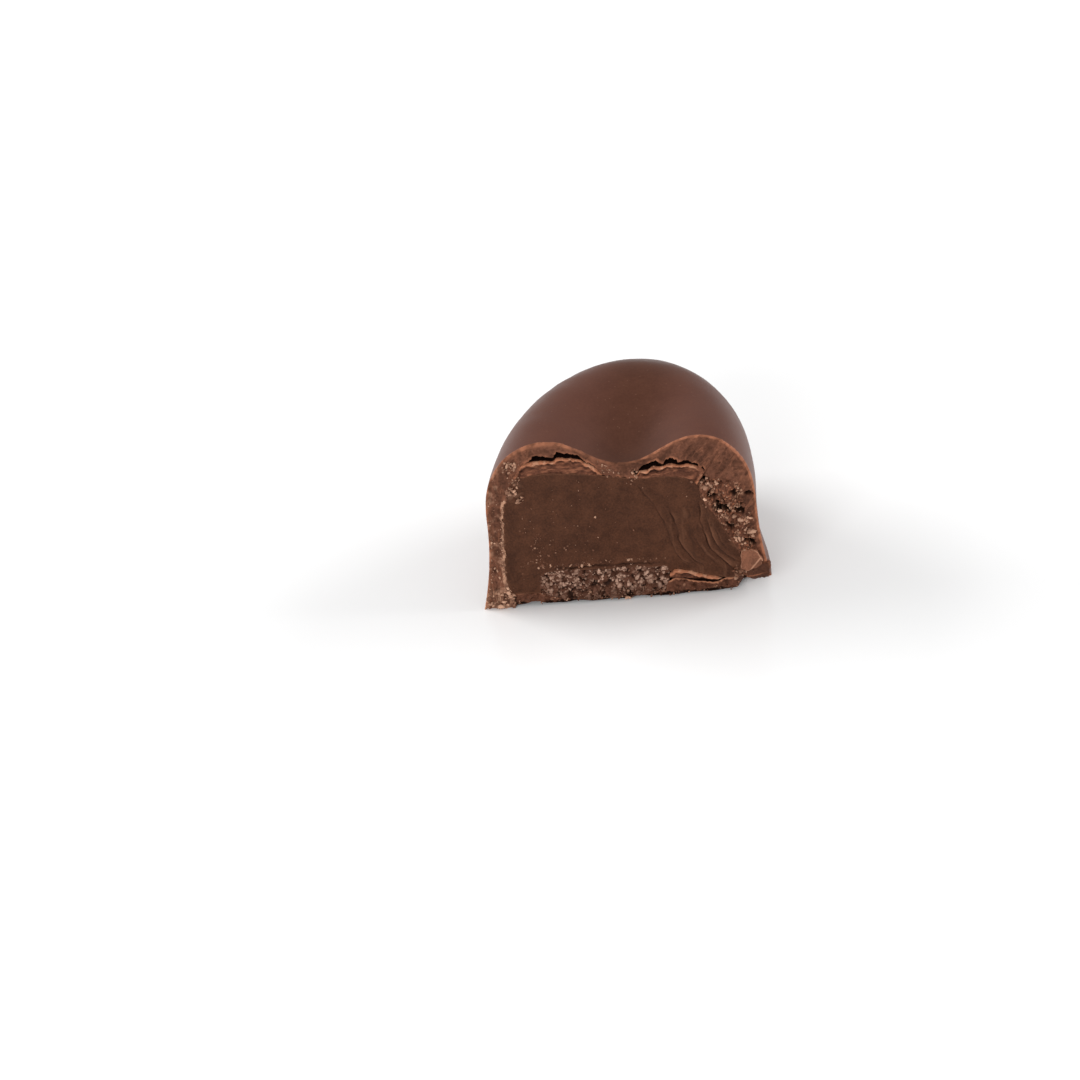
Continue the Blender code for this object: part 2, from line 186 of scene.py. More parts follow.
# The layers' edges as (x, z). Layers that touch overlap by a few hundredths, and a crack is where
# two edges part.
edges = {
    "fillingTop": [
        (-8.75, 11.5), (-8.3, 12.2), (-7.6, 12.45), (-6.6, 12.6), (-5.3, 12.62), (-3.0, 12.4),
        (-1.1, 12.05), (1.3, 11.55), (3.4, 11.5), (5.0, 11.38), (5.8, 11.1), (6.35, 10.45),
    ],
    "fillingLeft": [(-9.6, 1.3), (-9.88, 3.0), (-9.73, 6.0), (-9.43, 9.4), (-8.75, 11.5)],
    "fillingRight": [
        (9.2, 1.35), (9.42, 2.6), (8.98, 4.4), (8.08, 6.2), (7.38, 7.7), (6.78, 8.95), (6.35, 10.45),
    ],
    "fillingFoot": [
        (-9.6, 1.3), (-8.1, 1.25), (-7.25, 1.25), (-7.12, 1.7), (-7.1, 2.75), (-6.7, 3.12), (-5.0, 3.28),
        (-2.2, 3.12), (1.0, 3.0), (3.1, 2.9), (3.45, 2.45), (4.3, 2.6), (5.9, 1.95), (7.5, 1.45),
        (8.3, 1.3), (9.2, 1.35),
    ],
    "crispTop": [
        (-7.16, 2.3), (-7.14, 2.8), (-6.72, 3.16), (-5.0, 3.32), (-2.2, 3.16), (1.0, 3.04), (3.12, 2.94),
        (3.5, 2.2),
    ],
    "crispFoot": [
        (-7.16, 2.3), (-7.14, 1.30), (-5.8, 0.60), (-4.1, 0.38), (-0.8, 0.24), (2.1, 0.42), (3.15, 1.25),
        (3.5, 2.2),
    ],
    "ledgeTop": [(3.42, 1.95), (3.55, 2.38), (4.3, 2.53), (5.9, 1.9), (7.0, 1.55), (7.6, 1.3)],
    "ledgeFoot": [(3.42, 1.95), (3.6, 1.75), (4.3, 1.6), (5.9, 1.42), (7.0, 1.25), (7.6, 1.3)],
    "baseTop": [
        (-9.62, 1.28), (-8.1, 1.22), (-7.2, 1.2), (-5.8, 0.6), (-4.1, 0.38), (-0.8, 0.28), (2.1, 0.45),
        (3.15, 1.3), (3.7, 1.62), (4.3, 1.5), (5.9, 1.1), (7.0, 1.0), (7.9, 1.25), (9.2, 1.3),
    ],
    "baseFoot": [
        (-9.62, 0.16), (-8.6, 0.2), (-7.7, 0.42), (-6.8, 0.2), (-5.2, 0.14), (-4.3, 0.28), (-3.0, 0.1),
        (-1.4, 0.16), (-0.2, 0.1), (0.6, 0.24), (2.0, 0.16), (3.2, 0.08), (5.0, 0.16), (6.8, 0.10),
        (8.2, 0.22), (9.2, 0.4),
    ],
    "lobeLeftTop": [
        (-8.4, 12.2), (-8.15, 12.9), (-7.55, 13.62), (-6.8, 13.85), (-6.0, 13.9), (-5.2, 13.74),
        (-4.7, 13.98), (-4.0, 13.96), (-3.2, 13.78), (-2.5, 13.5), (-1.8, 12.95), (-1.15, 12.1),
    ],
    "lobeRightTop": [
        (1.35, 11.6), (1.75, 12.15), (2.3, 12.22), (2.9, 12.52), (3.5, 12.42), (4.2, 12.68), (5.1, 12.45),
        (5.7, 12.58), (6.2, 12.42), (6.9, 11.9), (6.75, 11.2), (6.3, 10.5),
    ],
    "shellInside": [
        (-9.60, 0.0), (-9.60, 1.2), (-9.85, 3.0), (-9.70, 6.0), (-9.40, 9.4), (-8.66, 11.5), (-8.31, 12.2),
        (-8.05, 12.88), (-7.50, 13.60), (-6.85, 14.12), (-6.0, 14.40), (-5.2, 14.20), (-4.75, 14.46),
        (-3.95, 14.46), (-3.2, 14.20), (-2.5, 13.76), (-1.75, 13.0), (-1.1, 12.12), (1.3, 11.62),
        (1.65, 12.24), (2.0, 12.56), (2.6, 12.86), (3.2, 12.98), (3.65, 12.60), (4.0, 13.08), (5.1, 12.93),
        (5.7, 13.04), (6.3, 12.6), (6.98, 11.95), (6.83, 11.2), (6.34, 10.45), (6.74, 8.95), (7.34, 7.7),
        (8.04, 6.2), (8.94, 4.4), (9.39, 2.6), (9.27, 1.3), (9.3, 0.0),
    ],
}

pits = (  # x, z, radius, depth
    (6.85, 10.9, 0.34, 0.7),
    (7.9, 8.4, 0.3, 0.9),
    (8.35, 8.05, 0.34, 1.0),
    (9.5, 8.0, 0.38, 0.9),
    (8.65, 6.4, 0.3, 0.8),
    (10.05, 4.75, 0.32, 0.8),
    (9.25, 9.5, 0.28, 0.6),
    (10.3, 9.2, 0.25, 0.5),
    (7.3, 9.4, 0.22, 0.5),
    (-8.2, 11.6, 0.26, 0.5),
    (1.3, 12.1, 0.24, 0.5),
)

dragMarks = (  # each runs down through its points; height, then how quickly it falls to its right
    ([(1.4, 11.2), (2.9, 8.6), (3.5, 6.8), (3.9, 5.2), (4.4, 3.8), (5.3, 2.8)], 0.065, 0.22),
    ([(4.0, 8.6), (4.3, 6.9), (4.7, 5.1), (5.35, 3.7), (6.4, 2.45)], 0.09, 0.45),
    ([(5.5, 9.2), (5.55, 7.4), (5.85, 5.4), (6.5, 3.9), (7.6, 2.3)], 0.04, 0.25),
    ([(6.35, 9.2), (6.4, 7.8), (6.5, 6.0), (7.0, 4.4), (7.8, 3.2), (8.8, 2.0)], 0.11, 0.30),
    ([(6.75, 8.1), (6.9, 6.7), (7.35, 5.1), (8.2, 3.65), (9.3, 2.6)], 0.09, 0.22),
    ([(7.3, 7.2), (7.5, 6.1), (8.0, 4.8), (8.7, 3.9)], 0.05, 0.20),
)


def fillingEdge(z):
    right = curveThrough(edges["fillingRight"], 60)
    return np.interp(z, right[:, 1], right[:, 0])


def knifePlane(x, z):
    # the knife's skew and slow waver, and the corner that broke away at the lower right
    waver = 0.07 * layered(x, z, 3.1, 11, 2)
    outer = ease(x, 10.6, 11.4)
    corner = 1.8 * ease(x, 8.75, 9.4) * ease(z, 1.42 + 1.3 * outer, 0.92 - 0.3 * outer)
    return bean["cutSkew"] * x + waver + corner


def wallEdge(z):
    # how far the mould's wall stands from the middle at this height
    t = np.clip(z / bean["wall"], 0.0, 1.0)
    return bean["halfWidth"] - bean["lean"] * (2.0 * t - t * t)


def crumbling(x, z):
    # 1 in the middle of the thick right wall, which broke instead of being cut
    ceiling = 11.35 - 0.3 * (x - 6.5)
    strip = 0.75 + 0.2 * waves(0.0, 0.0, z, 1.1, 35)
    inZone = ease(x - fillingEdge(z), -0.25, 0.35) * ease(wallEdge(z) - x, strip, strip + 0.4)
    return inZone * ease(z, ceiling + 0.35, ceiling - 0.35) * ease(z, 1.3, 2.0) * ease(x, 5.4, 6.2)


def pitting(x, z):
    # each pit is depth * exp(-(distance / radius)^4), on a place that noise pushes about
    wx = x + 0.30 * waves(x, 0.0, z, 0.55, 31) + 0.12 * waves(x, 0.0, z, 0.2, 32)
    wz = z + 0.30 * waves(x, 5.0, z, 0.55, 33) + 0.12 * waves(x, 5.0, z, 0.2, 34)
    deep = np.zeros(np.shape(x))
    for px, pz, radius, depth in pits:
        far = np.hypot(wx - px, 1.25 * (wz - pz)) / radius
        deep = np.maximum(deep, depth * np.exp(-(far**5)))
    return deep


# The mould's own surface

def groove(x, y):
    along = np.clip(np.abs(y) / bean["grooveReach"], 0.0, 1.0)
    across = np.abs(x - bean["grooveAt"] - bean["grooveSkew"] * y) / bean["grooveWidth"]
    return bean["grooveDepth"] * np.exp(-(across ** bean["grooveSquare"])) * (1.0 - along**2) ** 2


def insideBean(x, y, z):
    # below the wall's top a superellipse that leans in by 2t - t^2, above it the grooved dome
    t = np.clip(z / bean["wall"], 0.0, 1.0)
    lean = bean["lean"] * (2.0 * t - t * t)
    rho = np.hypot(x / (bean["halfWidth"] - lean), y / (bean["halfLength"] - lean))
    rise = (1.0 - np.clip(rho, 0.0, 1.0) ** bean["square"]) ** (1.0 / bean["square"])
    top = bean["wall"] + (bean["crown"] - bean["wall"]) * rise - groove(x, y)
    return (rho < 1.0) & ((z < bean["wall"]) | (z < top))


def outwards(reach, inside, steps=34):
    # halves the bracket on each ray until its end lies on the surface
    near, far = np.zeros_like(reach), reach * 1.6
    for _ in range(steps):
        middle = 0.5 * (near + far)
        within = inside(middle)
        near, far = np.where(within, middle, near), np.where(within, far, middle)
    return 0.5 * (near + far)


# Meshes

def quadsOf(grid):
    # a face for each cell of a grid of vertex numbers
    return np.stack([grid[:-1, :-1], grid[:-1, 1:], grid[1:, 1:], grid[1:, :-1]], axis=-1).reshape(-1, 4)


def fan(first, second, pole):
    return np.stack([first, second, np.full(len(first), pole)], axis=1).tolist()


def meshPiece(name, points, faces, masks, material):
    # points in millimetres, and masks from 0 to 1 for the material to read
    mesh = bpy.data.meshes.new(name)
    mesh.from_pydata(metres(points).tolist(), [], faces)
    for label, values in masks.items():
        layer = mesh.attributes.new(label, "FLOAT", "POINT")
        layer.data.foreach_set("value", np.clip(values, 0.0, 1.0).astype(np.float32))
    mesh.polygons.foreach_set("use_smooth", np.ones(len(mesh.polygons), bool))
    mesh.update()
    turnOutwards(mesh)
    piece = bpy.data.objects.new(name, mesh)
    bpy.context.scene.collection.objects.link(piece)
    mesh.materials.append(material)
    return piece


def turnOutwards(mesh):
    # a closed mesh whose signed volume is negative has its faces turned round
    mesh.calc_loop_triangles()
    corners = np.empty(3 * len(mesh.loop_triangles), np.int64)
    mesh.loop_triangles.foreach_get("vertices", corners)
    places = np.empty(3 * len(mesh.vertices))
    mesh.vertices.foreach_get("co", places)
    a, b, c = places.reshape(-1, 3)[corners.reshape(-1, 3)].transpose(1, 0, 2)
    if np.einsum("ij,ij->i", a, np.cross(b, c)).sum() < 0.0:
        mesh.flip_normals()


def standIn(piece, slot, *nodes):
    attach(piece, "root")
    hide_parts(*nodes)


# Materials

def feed(tree, node, given):
    # each input gets another node's output, a colour or a number
    for label, value in given.items():
        if isinstance(value, bpy.types.NodeSocket):
            tree.links.new(value, node.inputs[label])
        else:
            node.inputs[label].default_value = (*value, 1.0) if isinstance(value, tuple) else value
    return node


def added(tree, kind, given, **settings):
    node = tree.nodes.new("ShaderNode" + kind)
    for label, value in settings.items():
        setattr(node, label, value)
    return feed(tree, node, given)


def scaled(tree, value, factor, plus=0.0):
    # value * factor + plus
    return added(tree, "Math", {0: value, 1: factor, 2: plus}, operation="MULTIPLY_ADD").outputs[0]


def ranged(tree, value, low, high):
    # 0 at low, 1 at high
    return added(tree, "MapRange", {"Value": value, "From Min": low, "From Max": high}).outputs["Result"]


def mixed(tree, share, first, second, kind="RGBA"):
    # a Mix node keeps its numbers in inputs 2 and 3 and output 0, its colours in 6 and 7 and output 2
    start, result = (6, 2) if kind == "RGBA" else (2, 0)
    node = added(tree, "Mix", {0: share, start: first, start + 1: second}, data_type=kind)
    return node.outputs[result]


def noise(tree, place, scale, detail):
    return added(tree, "TexNoise", {"Vector": place, "Scale": scale, "Detail": detail}).outputs["Fac"]


def cocoaGrain():
    # a node group: mottle, sparse pale specks and a fine height, all from the place in millimetres
    tree = bpy.data.node_groups.new("cocoaGrain", "ShaderNodeTree")
    tree.interface.new_socket("Place", in_out="INPUT", socket_type="NodeSocketVector")
    tree.interface.new_socket("Scale", in_out="INPUT", socket_type="NodeSocketFloat")
    for label in ("Mottle", "Specks", "Height"):
        tree.interface.new_socket(label, in_out="OUTPUT", socket_type="NodeSocketFloat")
    given, out = tree.nodes.new("NodeGroupInput"), tree.nodes.new("NodeGroupOutput")
    place, scale = given.outputs["Place"], given.outputs["Scale"]
    broad = noise(tree, place, scaled(tree, scale, 0.55), 4.0)
    fine = noise(tree, place, scaled(tree, scale, 4.5), 5.0)
    speck = added(tree, "TexVoronoi", {"Vector": place, "Scale": scaled(tree, scale, 1.6)})
    feed(tree, out, {
        "Mottle": scaled(tree, broad, 0.5, scaled(tree, fine, 0.5)),
        "Specks": ranged(tree, speck.outputs["Distance"], 0.11, 0.05),
        "Height": fine,
    })
    return tree


grainGroup = cocoaGrain()
bumpDepth = 0.12 * mm


def chocolate(name, look):
    # colour: two tones by the mottle, then skin, specks, rim, pale and deep by the piece's own masks; rim
    # lays on painted highlight and deep lays on painted shade
    made = bpy.data.materials.new(name)
    made.use_nodes = True
    tree = made.node_tree
    place = tree.nodes.new("ShaderNodeTexCoord").outputs["Object"]
    inMillimetres = added(tree, "Mapping", {"Vector": place, "Scale": Vector((1.0, 1.0, 1.0)) / mm})
    given = {"Place": inMillimetres.outputs["Vector"], "Scale": look["grain"]}
    grain = added(tree, "Group", given, node_tree=grainGroup)

    def mask(label):
        return added(tree, "Attribute", {}, attribute_name=label).outputs["Fac"]

    mottle = ranged(tree, grain.outputs["Mottle"], 0.38, 0.62)
    colour = mixed(tree, mottle, look["dark"], look["light"])
    rough = scaled(tree, mottle, 0.06, look["rough"] - 0.03)
    height = grain.outputs["Height"]
    level = look["specular"]
    if "skin" in look:
        # the moulded outside is smoother and glossier than the cut
        skin = mask("skin")
        # painted shade: the groove mask darkens the skin's colour along the groove
        moulded = mixed(tree, mask("groove"), look["skin"], look["grooveSkinPaintedShade"])
        cloudy = mixed(tree, scaled(tree, mottle, 0.16), moulded, look["light"])
        colour = mixed(tree, skin, colour, cloudy)
        rough = mixed(tree, skin, rough, scaled(tree, mottle, 0.05, look["skinRough"]), "FLOAT")
        height = mixed(tree, skin, height, scaled(tree, height, 0.12), "FLOAT")
        level = scaled(tree, skin, look["skinSpecular"] - look["specular"], look["specular"])
    colour = mixed(tree, scaled(tree, grain.outputs["Specks"], look["specks"]), colour, look["pale"])
    for label in ("rim", "pale", "deep"):
        colour = mixed(tree, mask(label), colour, look[label])
    bump = added(tree, "Bump", {"Strength": look["bump"], "Distance": bumpDepth, "Height": height})
    feed(tree, tree.nodes["Principled BSDF"], {
        "Base Color": colour,
        "Roughness": rough,
        "Specular IOR Level": level,
        "Normal": bump.outputs["Normal"],
    })
    return made


# what several of the cut pieces share; deep is the colour of painted shade
cutLook = {"deep": (0.02, 0.008, 0.005), "rough": 0.6, "specks": 0.2, "bump": 0.5}

print("scene: bean and layers set out")


# Shell

shell = {
    "columns": 760,
    "across": 120,
    "backRings": 56,
    "innerRings": 14,  # backRings is a whole multiple of it
    "rim": 0.11,
    "tuck": 0.42,  # how much closer in the right wall's foot stands behind the cut
    "dent": 0.03,
    "innerEnd": 17.25,  # how far back the hollow reaches
    "look": {
        "light": (0.168, 0.067, 0.040), "dark": (0.084, 0.033, 0.0190),
        # the second, darker skin colour is painted shade along the groove
        "skin": (0.097, 0.0365, 0.0245), "grooveSkinPaintedShade": (0.071, 0.0258, 0.0150),
        # rim is the colour of the painted highlight, deep the colour of the painted shade
        "rim": (0.350, 0.136, 0.074), "pale": (0.56, 0.310, 0.200), "deep": (0.012, 0.006, 0.004),
        "rough": 0.62, "skinRough": 0.36, "skinSpecular": 0.11, "specular": 0.06,
        "specks": 0.1, "grain": 1.0, "bump": 0.5,
    },
}
ray = (bean["halfWidth"], bean["halfLength"], 16.0)  # the rays' stretch along x, y and z


def onRay(angle, reach):
    return reach * ray[0] * np.cos(angle), reach * ray[2] * np.sin(angle)


def carriedBack(points, share):
    # a point of the cut goes back to share * innerEnd, where the section has shrunk to
    # sqrt(1 - share^2) in width and (1 - share^4)^(1/4) in height
    x, y, z = points[..., 0], points[..., 1], points[..., 2]
    width = np.sqrt(1.0 - share**2)
    height = (1.0 - share**4) ** 0.25
    return np.stack([x * width, blend(y, shell["innerEnd"], share), z * height], axis=-1)


def shellRelief(x, z):
    # broken wall: slow crags, facets of two sizes and grains. Elsewhere a knife cut with smears
    broken = crumbling(x, z)
    wx, wz = x + 0.22 * layered(x, z, 0.8, 21, 2), z + 0.22 * layered(x, z, 0.8, 22, 2)
    chunk = cells(wx, wz, 0.95, 23)[2]
    nearSmall, tone, grain = cells(wx, wz, 0.40, 24)
    nearGrain, grainTone, _ = cells(x + 0.05 * layered(x, z, 0.2, 38, 2), z, 0.19, 39)
    crag = 0.04 + 0.16 * layered(x, z, 1.9, 25, 3) + 0.42 * chunk + 0.24 * grain
    crag = crag + 0.16 * (nearSmall - 0.4) + 0.13 * (nearGrain - 0.4) + 0.04 * layered(x, z, 0.25, 28, 2)
    foot = ease(x, -9.3, -9.9) * ease(z, 2.6, 1.2)
    # ridges 1 - |noise|, drawn out up the left wall and along a slant over the right bump
    slant = ease(x, -7.0, 4.0)
    across = blend(x, 0.75 * x - 0.65 * z, slant)
    along = blend(z, 0.65 * x + 0.75 * z, slant)
    scrape = 1.0 - np.abs(layered(across * 1.6, along * 0.42, 0.75, 37, 4))
    flake = layered(x, z, 0.45, 29, 3)
    smears = 0.07 * layered(x, z, 1.3, 27, 2) - 0.10 * (scrape - 0.6) + 0.05 * flake
    deep = pitting(x, z)
    relief = broken * crag + (1.0 - broken) * (smears + foot * (0.22 * grain + 0.14 * chunk)) + deep
    tones = {
        "broken": broken, "foot": foot, "deep": deep, "tone": tone, "scrape": scrape, "flake": flake,
        "crag": broken * crag, "grain": grainTone, "gap": nearGrain,
    }
    return relief, tones


def shellMasks(x, z, fromInside, fromRim, tones):
    # rim: painted highlight on the mould's edge, rising from left to right and weaker in the middle, on the
    # crests of smears and grains, and on what lies under a crack
    broken, scrape, flake, gap = (tones[k] for k in ("broken", "scrape", "flake", "gap"))
    uneven, fineUneven = layered(x, z, 0.7, 51, 3), layered(x, z, 0.3, 55, 2)
    lit = ease(x, -9.0, -2.0)
    middle = bell(x + 0.3, 2.6)
    leftBump = bell(x + 6.3, 2.6)
    recess = ease(z, 1.6, 1.0) * ease(fromRim, 0.3, 0.6)
    edge = ease(fromRim, 0.28 + (0.26 + 0.10 * uneven) * leftBump, 0.12)
    edge = edge * (0.52 + 0.35 * lit + 0.25 * leftBump + 0.40 * fineUneven) * (1.0 - 0.65 * middle)
    edge = np.maximum(edge, ease(fromRim, 0.75, 0.15) * (0.16 + 0.22 * uneven + 0.20 * fineUneven))
    edge = edge * (1.0 - ease(x, 8.5, 9.5) * recess)
    crest = ease(scrape, 0.80, 0.99) * (0.20 + 0.30 * flake) * (1.0 - broken)
    crest = crest + broken * ease(tones["grain"], 0.35, 0.90) * ease(gap, 0.6, 0.2) * 0.80
    underCrack = ease(fromInside, 0.35, 0.05) * ease(z, 11.0, 12.3) * (0.35 + 0.6 * uneven)

    # pale: a share of the broken facets, the left foot, flakes at the left and a line by the filling
    bright = 0.65 * broken * ease(tones["tone"], 0.66, 0.82) * ease(gap, 0.6, 0.3)
    bright = bright + 0.6 * tones["foot"] * ease(tones["tone"], 0.45, 0.75)
    bright = bright + 0.30 * ease(flake, -0.2, -0.8) * ease(x, -9.0, -10.0)
    nearFilling = ease(-x, 8.5, 9.3) * ease(z, 10.9, 10.0)
    paleLine = ease(np.abs(fromInside - 0.16 - 0.05 * uneven), 0.20, 0.08) * (0.55 + 0.40 * fineUneven)

    # deep: painted shade in pits, the gaps between grains, furrows and the recess at the lower right
    sunk = np.clip(2.4 * tones["deep"], 0.0, 0.95) + 0.25 * ease(tones["crag"], 0.2, 0.6)
    sunk = sunk + 0.20 * broken * ease(gap, 0.5, 0.8)
    sunk = sunk + 0.25 * (1.0 - broken) * (ease(scrape, 0.55, 0.25) + ease(flake, 0.35, 0.8))
    sunk = sunk + 0.5 * ease(x, 8.9, 9.5) * recess
    return {
        "rim": np.maximum(np.maximum(edge, crest), underCrack),
        "pale": np.maximum(bright, paleLine * nearFilling),
        "deep": np.minimum(sunk, 0.92),
    }


def tuck(points):
    # behind the cut the foot of the right wall stands a little closer in
    x, y, z = points[..., 0], points[..., 1], points[..., 2]
    return shell["tuck"] * ease(y, 1.75, 3.3) * ease(x, 6.0, 10.5) * ease(z, 9.5, 4.0)


def shellColumns():
    # for each column of the face its angle, the reach of its inner end and how wide its rim is.
    # Columns crowd where the wall crumbles and at the feet
    inside = frayed(curveThrough(edges["shellInside"], 1600))[::-1]
    insideAngle = np.arctan2(inside[:, 1] / ray[2], inside[:, 0] / ray[0])
    insideReach = np.hypot(inside[:, 0] / ray[0], inside[:, 1] / ray[2])
    order = np.argsort(insideAngle)
    q = np.linspace(0.0, math.pi, 2000)
    crowd = 1.0 + 1.3 * ease(q, 1.15, 0.85) + 0.8 * ease(q, 2.95, 3.1)
    spread = np.concatenate([[0.0], np.cumsum(0.5 * (crowd[1:] + crowd[:-1]))])
    angle = np.interp(np.linspace(0.0, 1.0, shell["columns"]), spread / spread[-1], q)
    run = 14.0 * angle  # about the millimetres along the wall
    reachIn = np.interp(angle, insideAngle[order], insideReach[order])
    ragged = (0.006 + 0.005 * ease(reachIn, 0.84, 0.90)) * layered(run, 0.0, 0.30, 41, 4)
    reachIn = reachIn + ragged * ease(angle, 0.15, 0.3) * ease(angle, math.pi - 0.05, math.pi - 0.3)
    chips = ease(layered(run, 0.0, 0.6, 44, 3), 0.45, 0.9)
    return angle, reachIn, shell["rim"] * (1.0 + 0.5 * layered(run, 0.0, 1.4, 43, 3) + 0.8 * chips)


def makeShell():
    n, rows, backRings, innerRings = (shell[k] for k in ("columns", "across", "backRings", "innerRings"))
    angle, reachIn, rim = shellColumns()

    def within(reach):
        x, z = onRay(angle, reach)
        return insideBean(x, knifePlane(x, z) + rim, z)

    reachOut = outwards(np.ones(n), within)

    # the cut face, from the inner edge to the rim
    t = np.linspace(0.0, 1.0, rows)[:, None]
    x, z = onRay(angle, blend(reachIn, reachOut, t))
    length = np.hypot(*onRay(angle, reachOut - reachIn))
    fromRim, fromInside = (1.0 - t) * length, t * length
    relief, tones = shellRelief(x, z)
    bend = 1.0 - np.clip(fromRim / np.maximum(rim, 0.05), 0.0, 1.0)
    rounding = rim * (1.0 - np.sqrt(np.clip(1.0 - bend**2, 0.0, 1.0)))
    y = knifePlane(x, z) + relief * ease(fromRim, 0.0, 0.25) + rounding
    face = np.stack([x, y, z], axis=-1)
    face[0, :, 2] = np.maximum(face[0, :, 2], 0.0)

    # the moulded outside, on rays that fan out from the rim to the far end
    scaledRim = face[-1] / np.array(ray)
    startTilt = np.arcsin(scaledRim[:, 1] / np.linalg.norm(scaledRim, axis=1))
    # one more ring lies close behind the rim, so the rim's painted highlight ends there
    step = (np.append(0.04, np.arange(1, backRings)) / backRings)[:, None]
    tilt = blend(startTilt, 0.5 * math.pi, step)
    dx = ray[0] * np.cos(angle) * np.cos(tilt)
    dy = ray[1] * np.sin(tilt)
    dz = ray[2] * np.sin(angle) * np.cos(tilt)
    far = outwards(np.ones(tilt.shape), lambda k: insideBean(k * dx, k * dy, k * dz))
    outside = np.stack([far * dx, far * dy, far * dz], axis=-1)
    for part in (face, outside):
        part[..., 0] -= tuck(part)
    uneven = layered(outside[..., 0] + outside[..., 1], outside[..., 2] - outside[..., 1], 4.2, 47, 2)
    dent = uneven * ease(step, 0.0, 0.08) * ease(step, 1.0, 0.9) * ease(outside[..., 2], 0.0, 1.0)
    outside = outside * (1.0 + shell["dent"] * dent / bean["halfWidth"])[..., None]

    # the inside, which the softer layers fill
    back = np.append(0.004, np.sin(0.5 * math.pi * np.arange(1, innerRings) / innerRings))
    hollow = np.stack([carriedBack(face[0], share) for share in back])
    hollow[..., 0] -= tuck(hollow)

    poles = np.array([[0.0, bean["halfLength"], 0.0], [0.0, shell["innerEnd"], 0.0]])
    points = np.vstack([face.reshape(-1, 3), outside.reshape(-1, 3), hollow.reshape(-1, 3), poles])
    faceCount, outCount = rows * n, backRings * n
    outPole, inPole = len(points) - 2, len(points) - 1
    grid = np.arange(faceCount).reshape(rows, n)
    outRows = np.vstack([grid[-1], faceCount + np.arange(outCount).reshape(-1, n)])
    inRows = np.vstack([grid[0], faceCount + outCount + np.arange(len(hollow) * n).reshape(-1, n)])
    faces = np.vstack([quadsOf(grid), quadsOf(outRows), quadsOf(inRows)[:, ::-1]]).tolist()
    faces += fan(outRows[-1, :-1], outRows[-1, 1:], outPole)
    faces += fan(inRows[-1, 1:], inRows[-1, :-1], inPole)

    # the foot on each side: the cut's own bottom row, then bands between the outer and inner foot lines
    ratio = backRings // innerRings
    for side, turned in ((0, False), (n - 1, True)):
        outLine = np.append(outRows[:, side], outPole).tolist()
        inLine = np.append(inRows[:, side], inPole).tolist()
        front = grid[:, side].tolist()
        for ring in range(innerRings):
            outer = outLine[ring * ratio + min(ring, 1):(ring + 1) * ratio + 2]
            inner = inLine[ring + 1:ring + 3]
            loop = (front + outer[1:] + inner[::-1]) if ring == 0 else ([inner[0]] + outer + [inner[1]])
            faces.append(loop if turned else loop[::-1])

    masks = {label: np.zeros(len(points)) for label in ("skin", "rim", "pale", "deep")}
    for label, values in shellMasks(x, z, fromInside, fromRim, tones).items():
        masks[label][:faceCount] = values.ravel()
    masks["skin"][grid[-1, 0]:faceCount + outCount] = 1.0
    masks["skin"][outPole] = 1.0
    # painted shade on the hollow's surfaces, which show through the cracks, rising from 11.5 to 12.3 mm up
    hidden = points[faceCount + outCount:, 2]
    masks["deep"][faceCount + outCount:] = 0.35 + 0.6 * ease(hidden, 11.5, 12.3)
    masks["deep"][outPole] = 0.0
    # the groove mask, for the painted shade along the groove
    aside = np.abs(points[:, 0] - bean["grooveAt"] - bean["grooveSkew"] * points[:, 1]) / 3.2
    masks["groove"] = np.exp(-(aside**2.5))
    piece = meshPiece("shellHalf", points, faces, masks, chocolate("shellChocolate", shell["look"]))
    standIn(piece, "milk_chocolate", "shell")


# Softer layers

def layerPiece(name, size, material, relief, top, foot, left=None, right=None):
    # the face is foot(s) + t * (top(s) - foot(s)), bowed at its ends to the left and right edges.
    # Its border is carried back through the sweet ring by ring and closed there
    along, up, edge = (size[k] for k in ("along", "up", "edge"))
    s, t = np.linspace(0.0, 1.0, along), np.linspace(0.0, 1.0, up)[:, None]
    topLine, footLine = frayed(curveThrough(top, along)), frayed(curveThrough(foot, along))
    grid = blend(footLine[None], topLine[None], t[..., None])
    for points, column, weight in ((left, 0, 1.0 - s), (right, -1, s)):
        if points is not None:
            bow = frayed(curveThrough(points, up)) - grid[:, column]
            grid = grid + bow[:, None] * (weight**3)[None, :, None]
    x, z = grid[..., 0], grid[..., 1]
    height = np.linalg.norm(topLine - footLine, axis=1)[None]
    width = np.ptp(topLine[:, 0])
    border = np.minimum(np.minimum(t, 1.0 - t) * height, np.minimum(s, 1.0 - s)[None] * width)
    deeper, masks = relief(x, z, border, (1.0 - t) * height)
    bend = 1.0 - np.clip(border / edge, 0.0, 1.0)
    y = knifePlane(x, z) + deeper * ease(border, 0.0, size["lip"]) + edge * (1.0 - np.sqrt(1.0 - bend**2))
    face = np.stack([x, y, z], axis=-1).reshape(-1, 3)

    index = np.arange(up * along).reshape(up, along)
    loop = np.concatenate([index[0], index[1:, -1], index[-1, -2::-1], index[-2:0:-1, 0]])
    shares = np.sin(0.5 * math.pi * np.linspace(0.03, 1.0, 9)) * size["end"] / shell["innerEnd"]
    rings = np.stack([carriedBack(face[loop], share) for share in (0.003, *shares)])
    middle = rings[-1].mean(axis=0)
    caps = np.stack([blend(rings[-1], middle, share) for share in (0.3, 0.6, 0.85)])
    hidden = np.vstack([rings.reshape(-1, 3), caps.reshape(-1, 3), middle[None]])
    rows = np.vstack([loop, len(face) + np.arange(len(hidden) - 1).reshape(-1, len(loop))])
    ahead = np.roll(rows, -1, axis=1)
    sides = np.stack([rows[:-1], rows[1:], ahead[1:], ahead[:-1]], axis=-1).reshape(-1, 4)
    faces = np.vstack([quadsOf(index), sides]).tolist()
    faces += fan(ahead[-1], rows[-1], len(face) + len(hidden) - 1)
    # the hidden sides and cap take behind in their deep mask as painted shade
    padded = {
        label: np.append(values.ravel(), np.full(len(hidden), size["behind"] if label == "deep" else 0.0))
        for label, values in masks.items()
    }
    return meshPiece(name, np.vstack([face, hidden]), faces, padded, material)
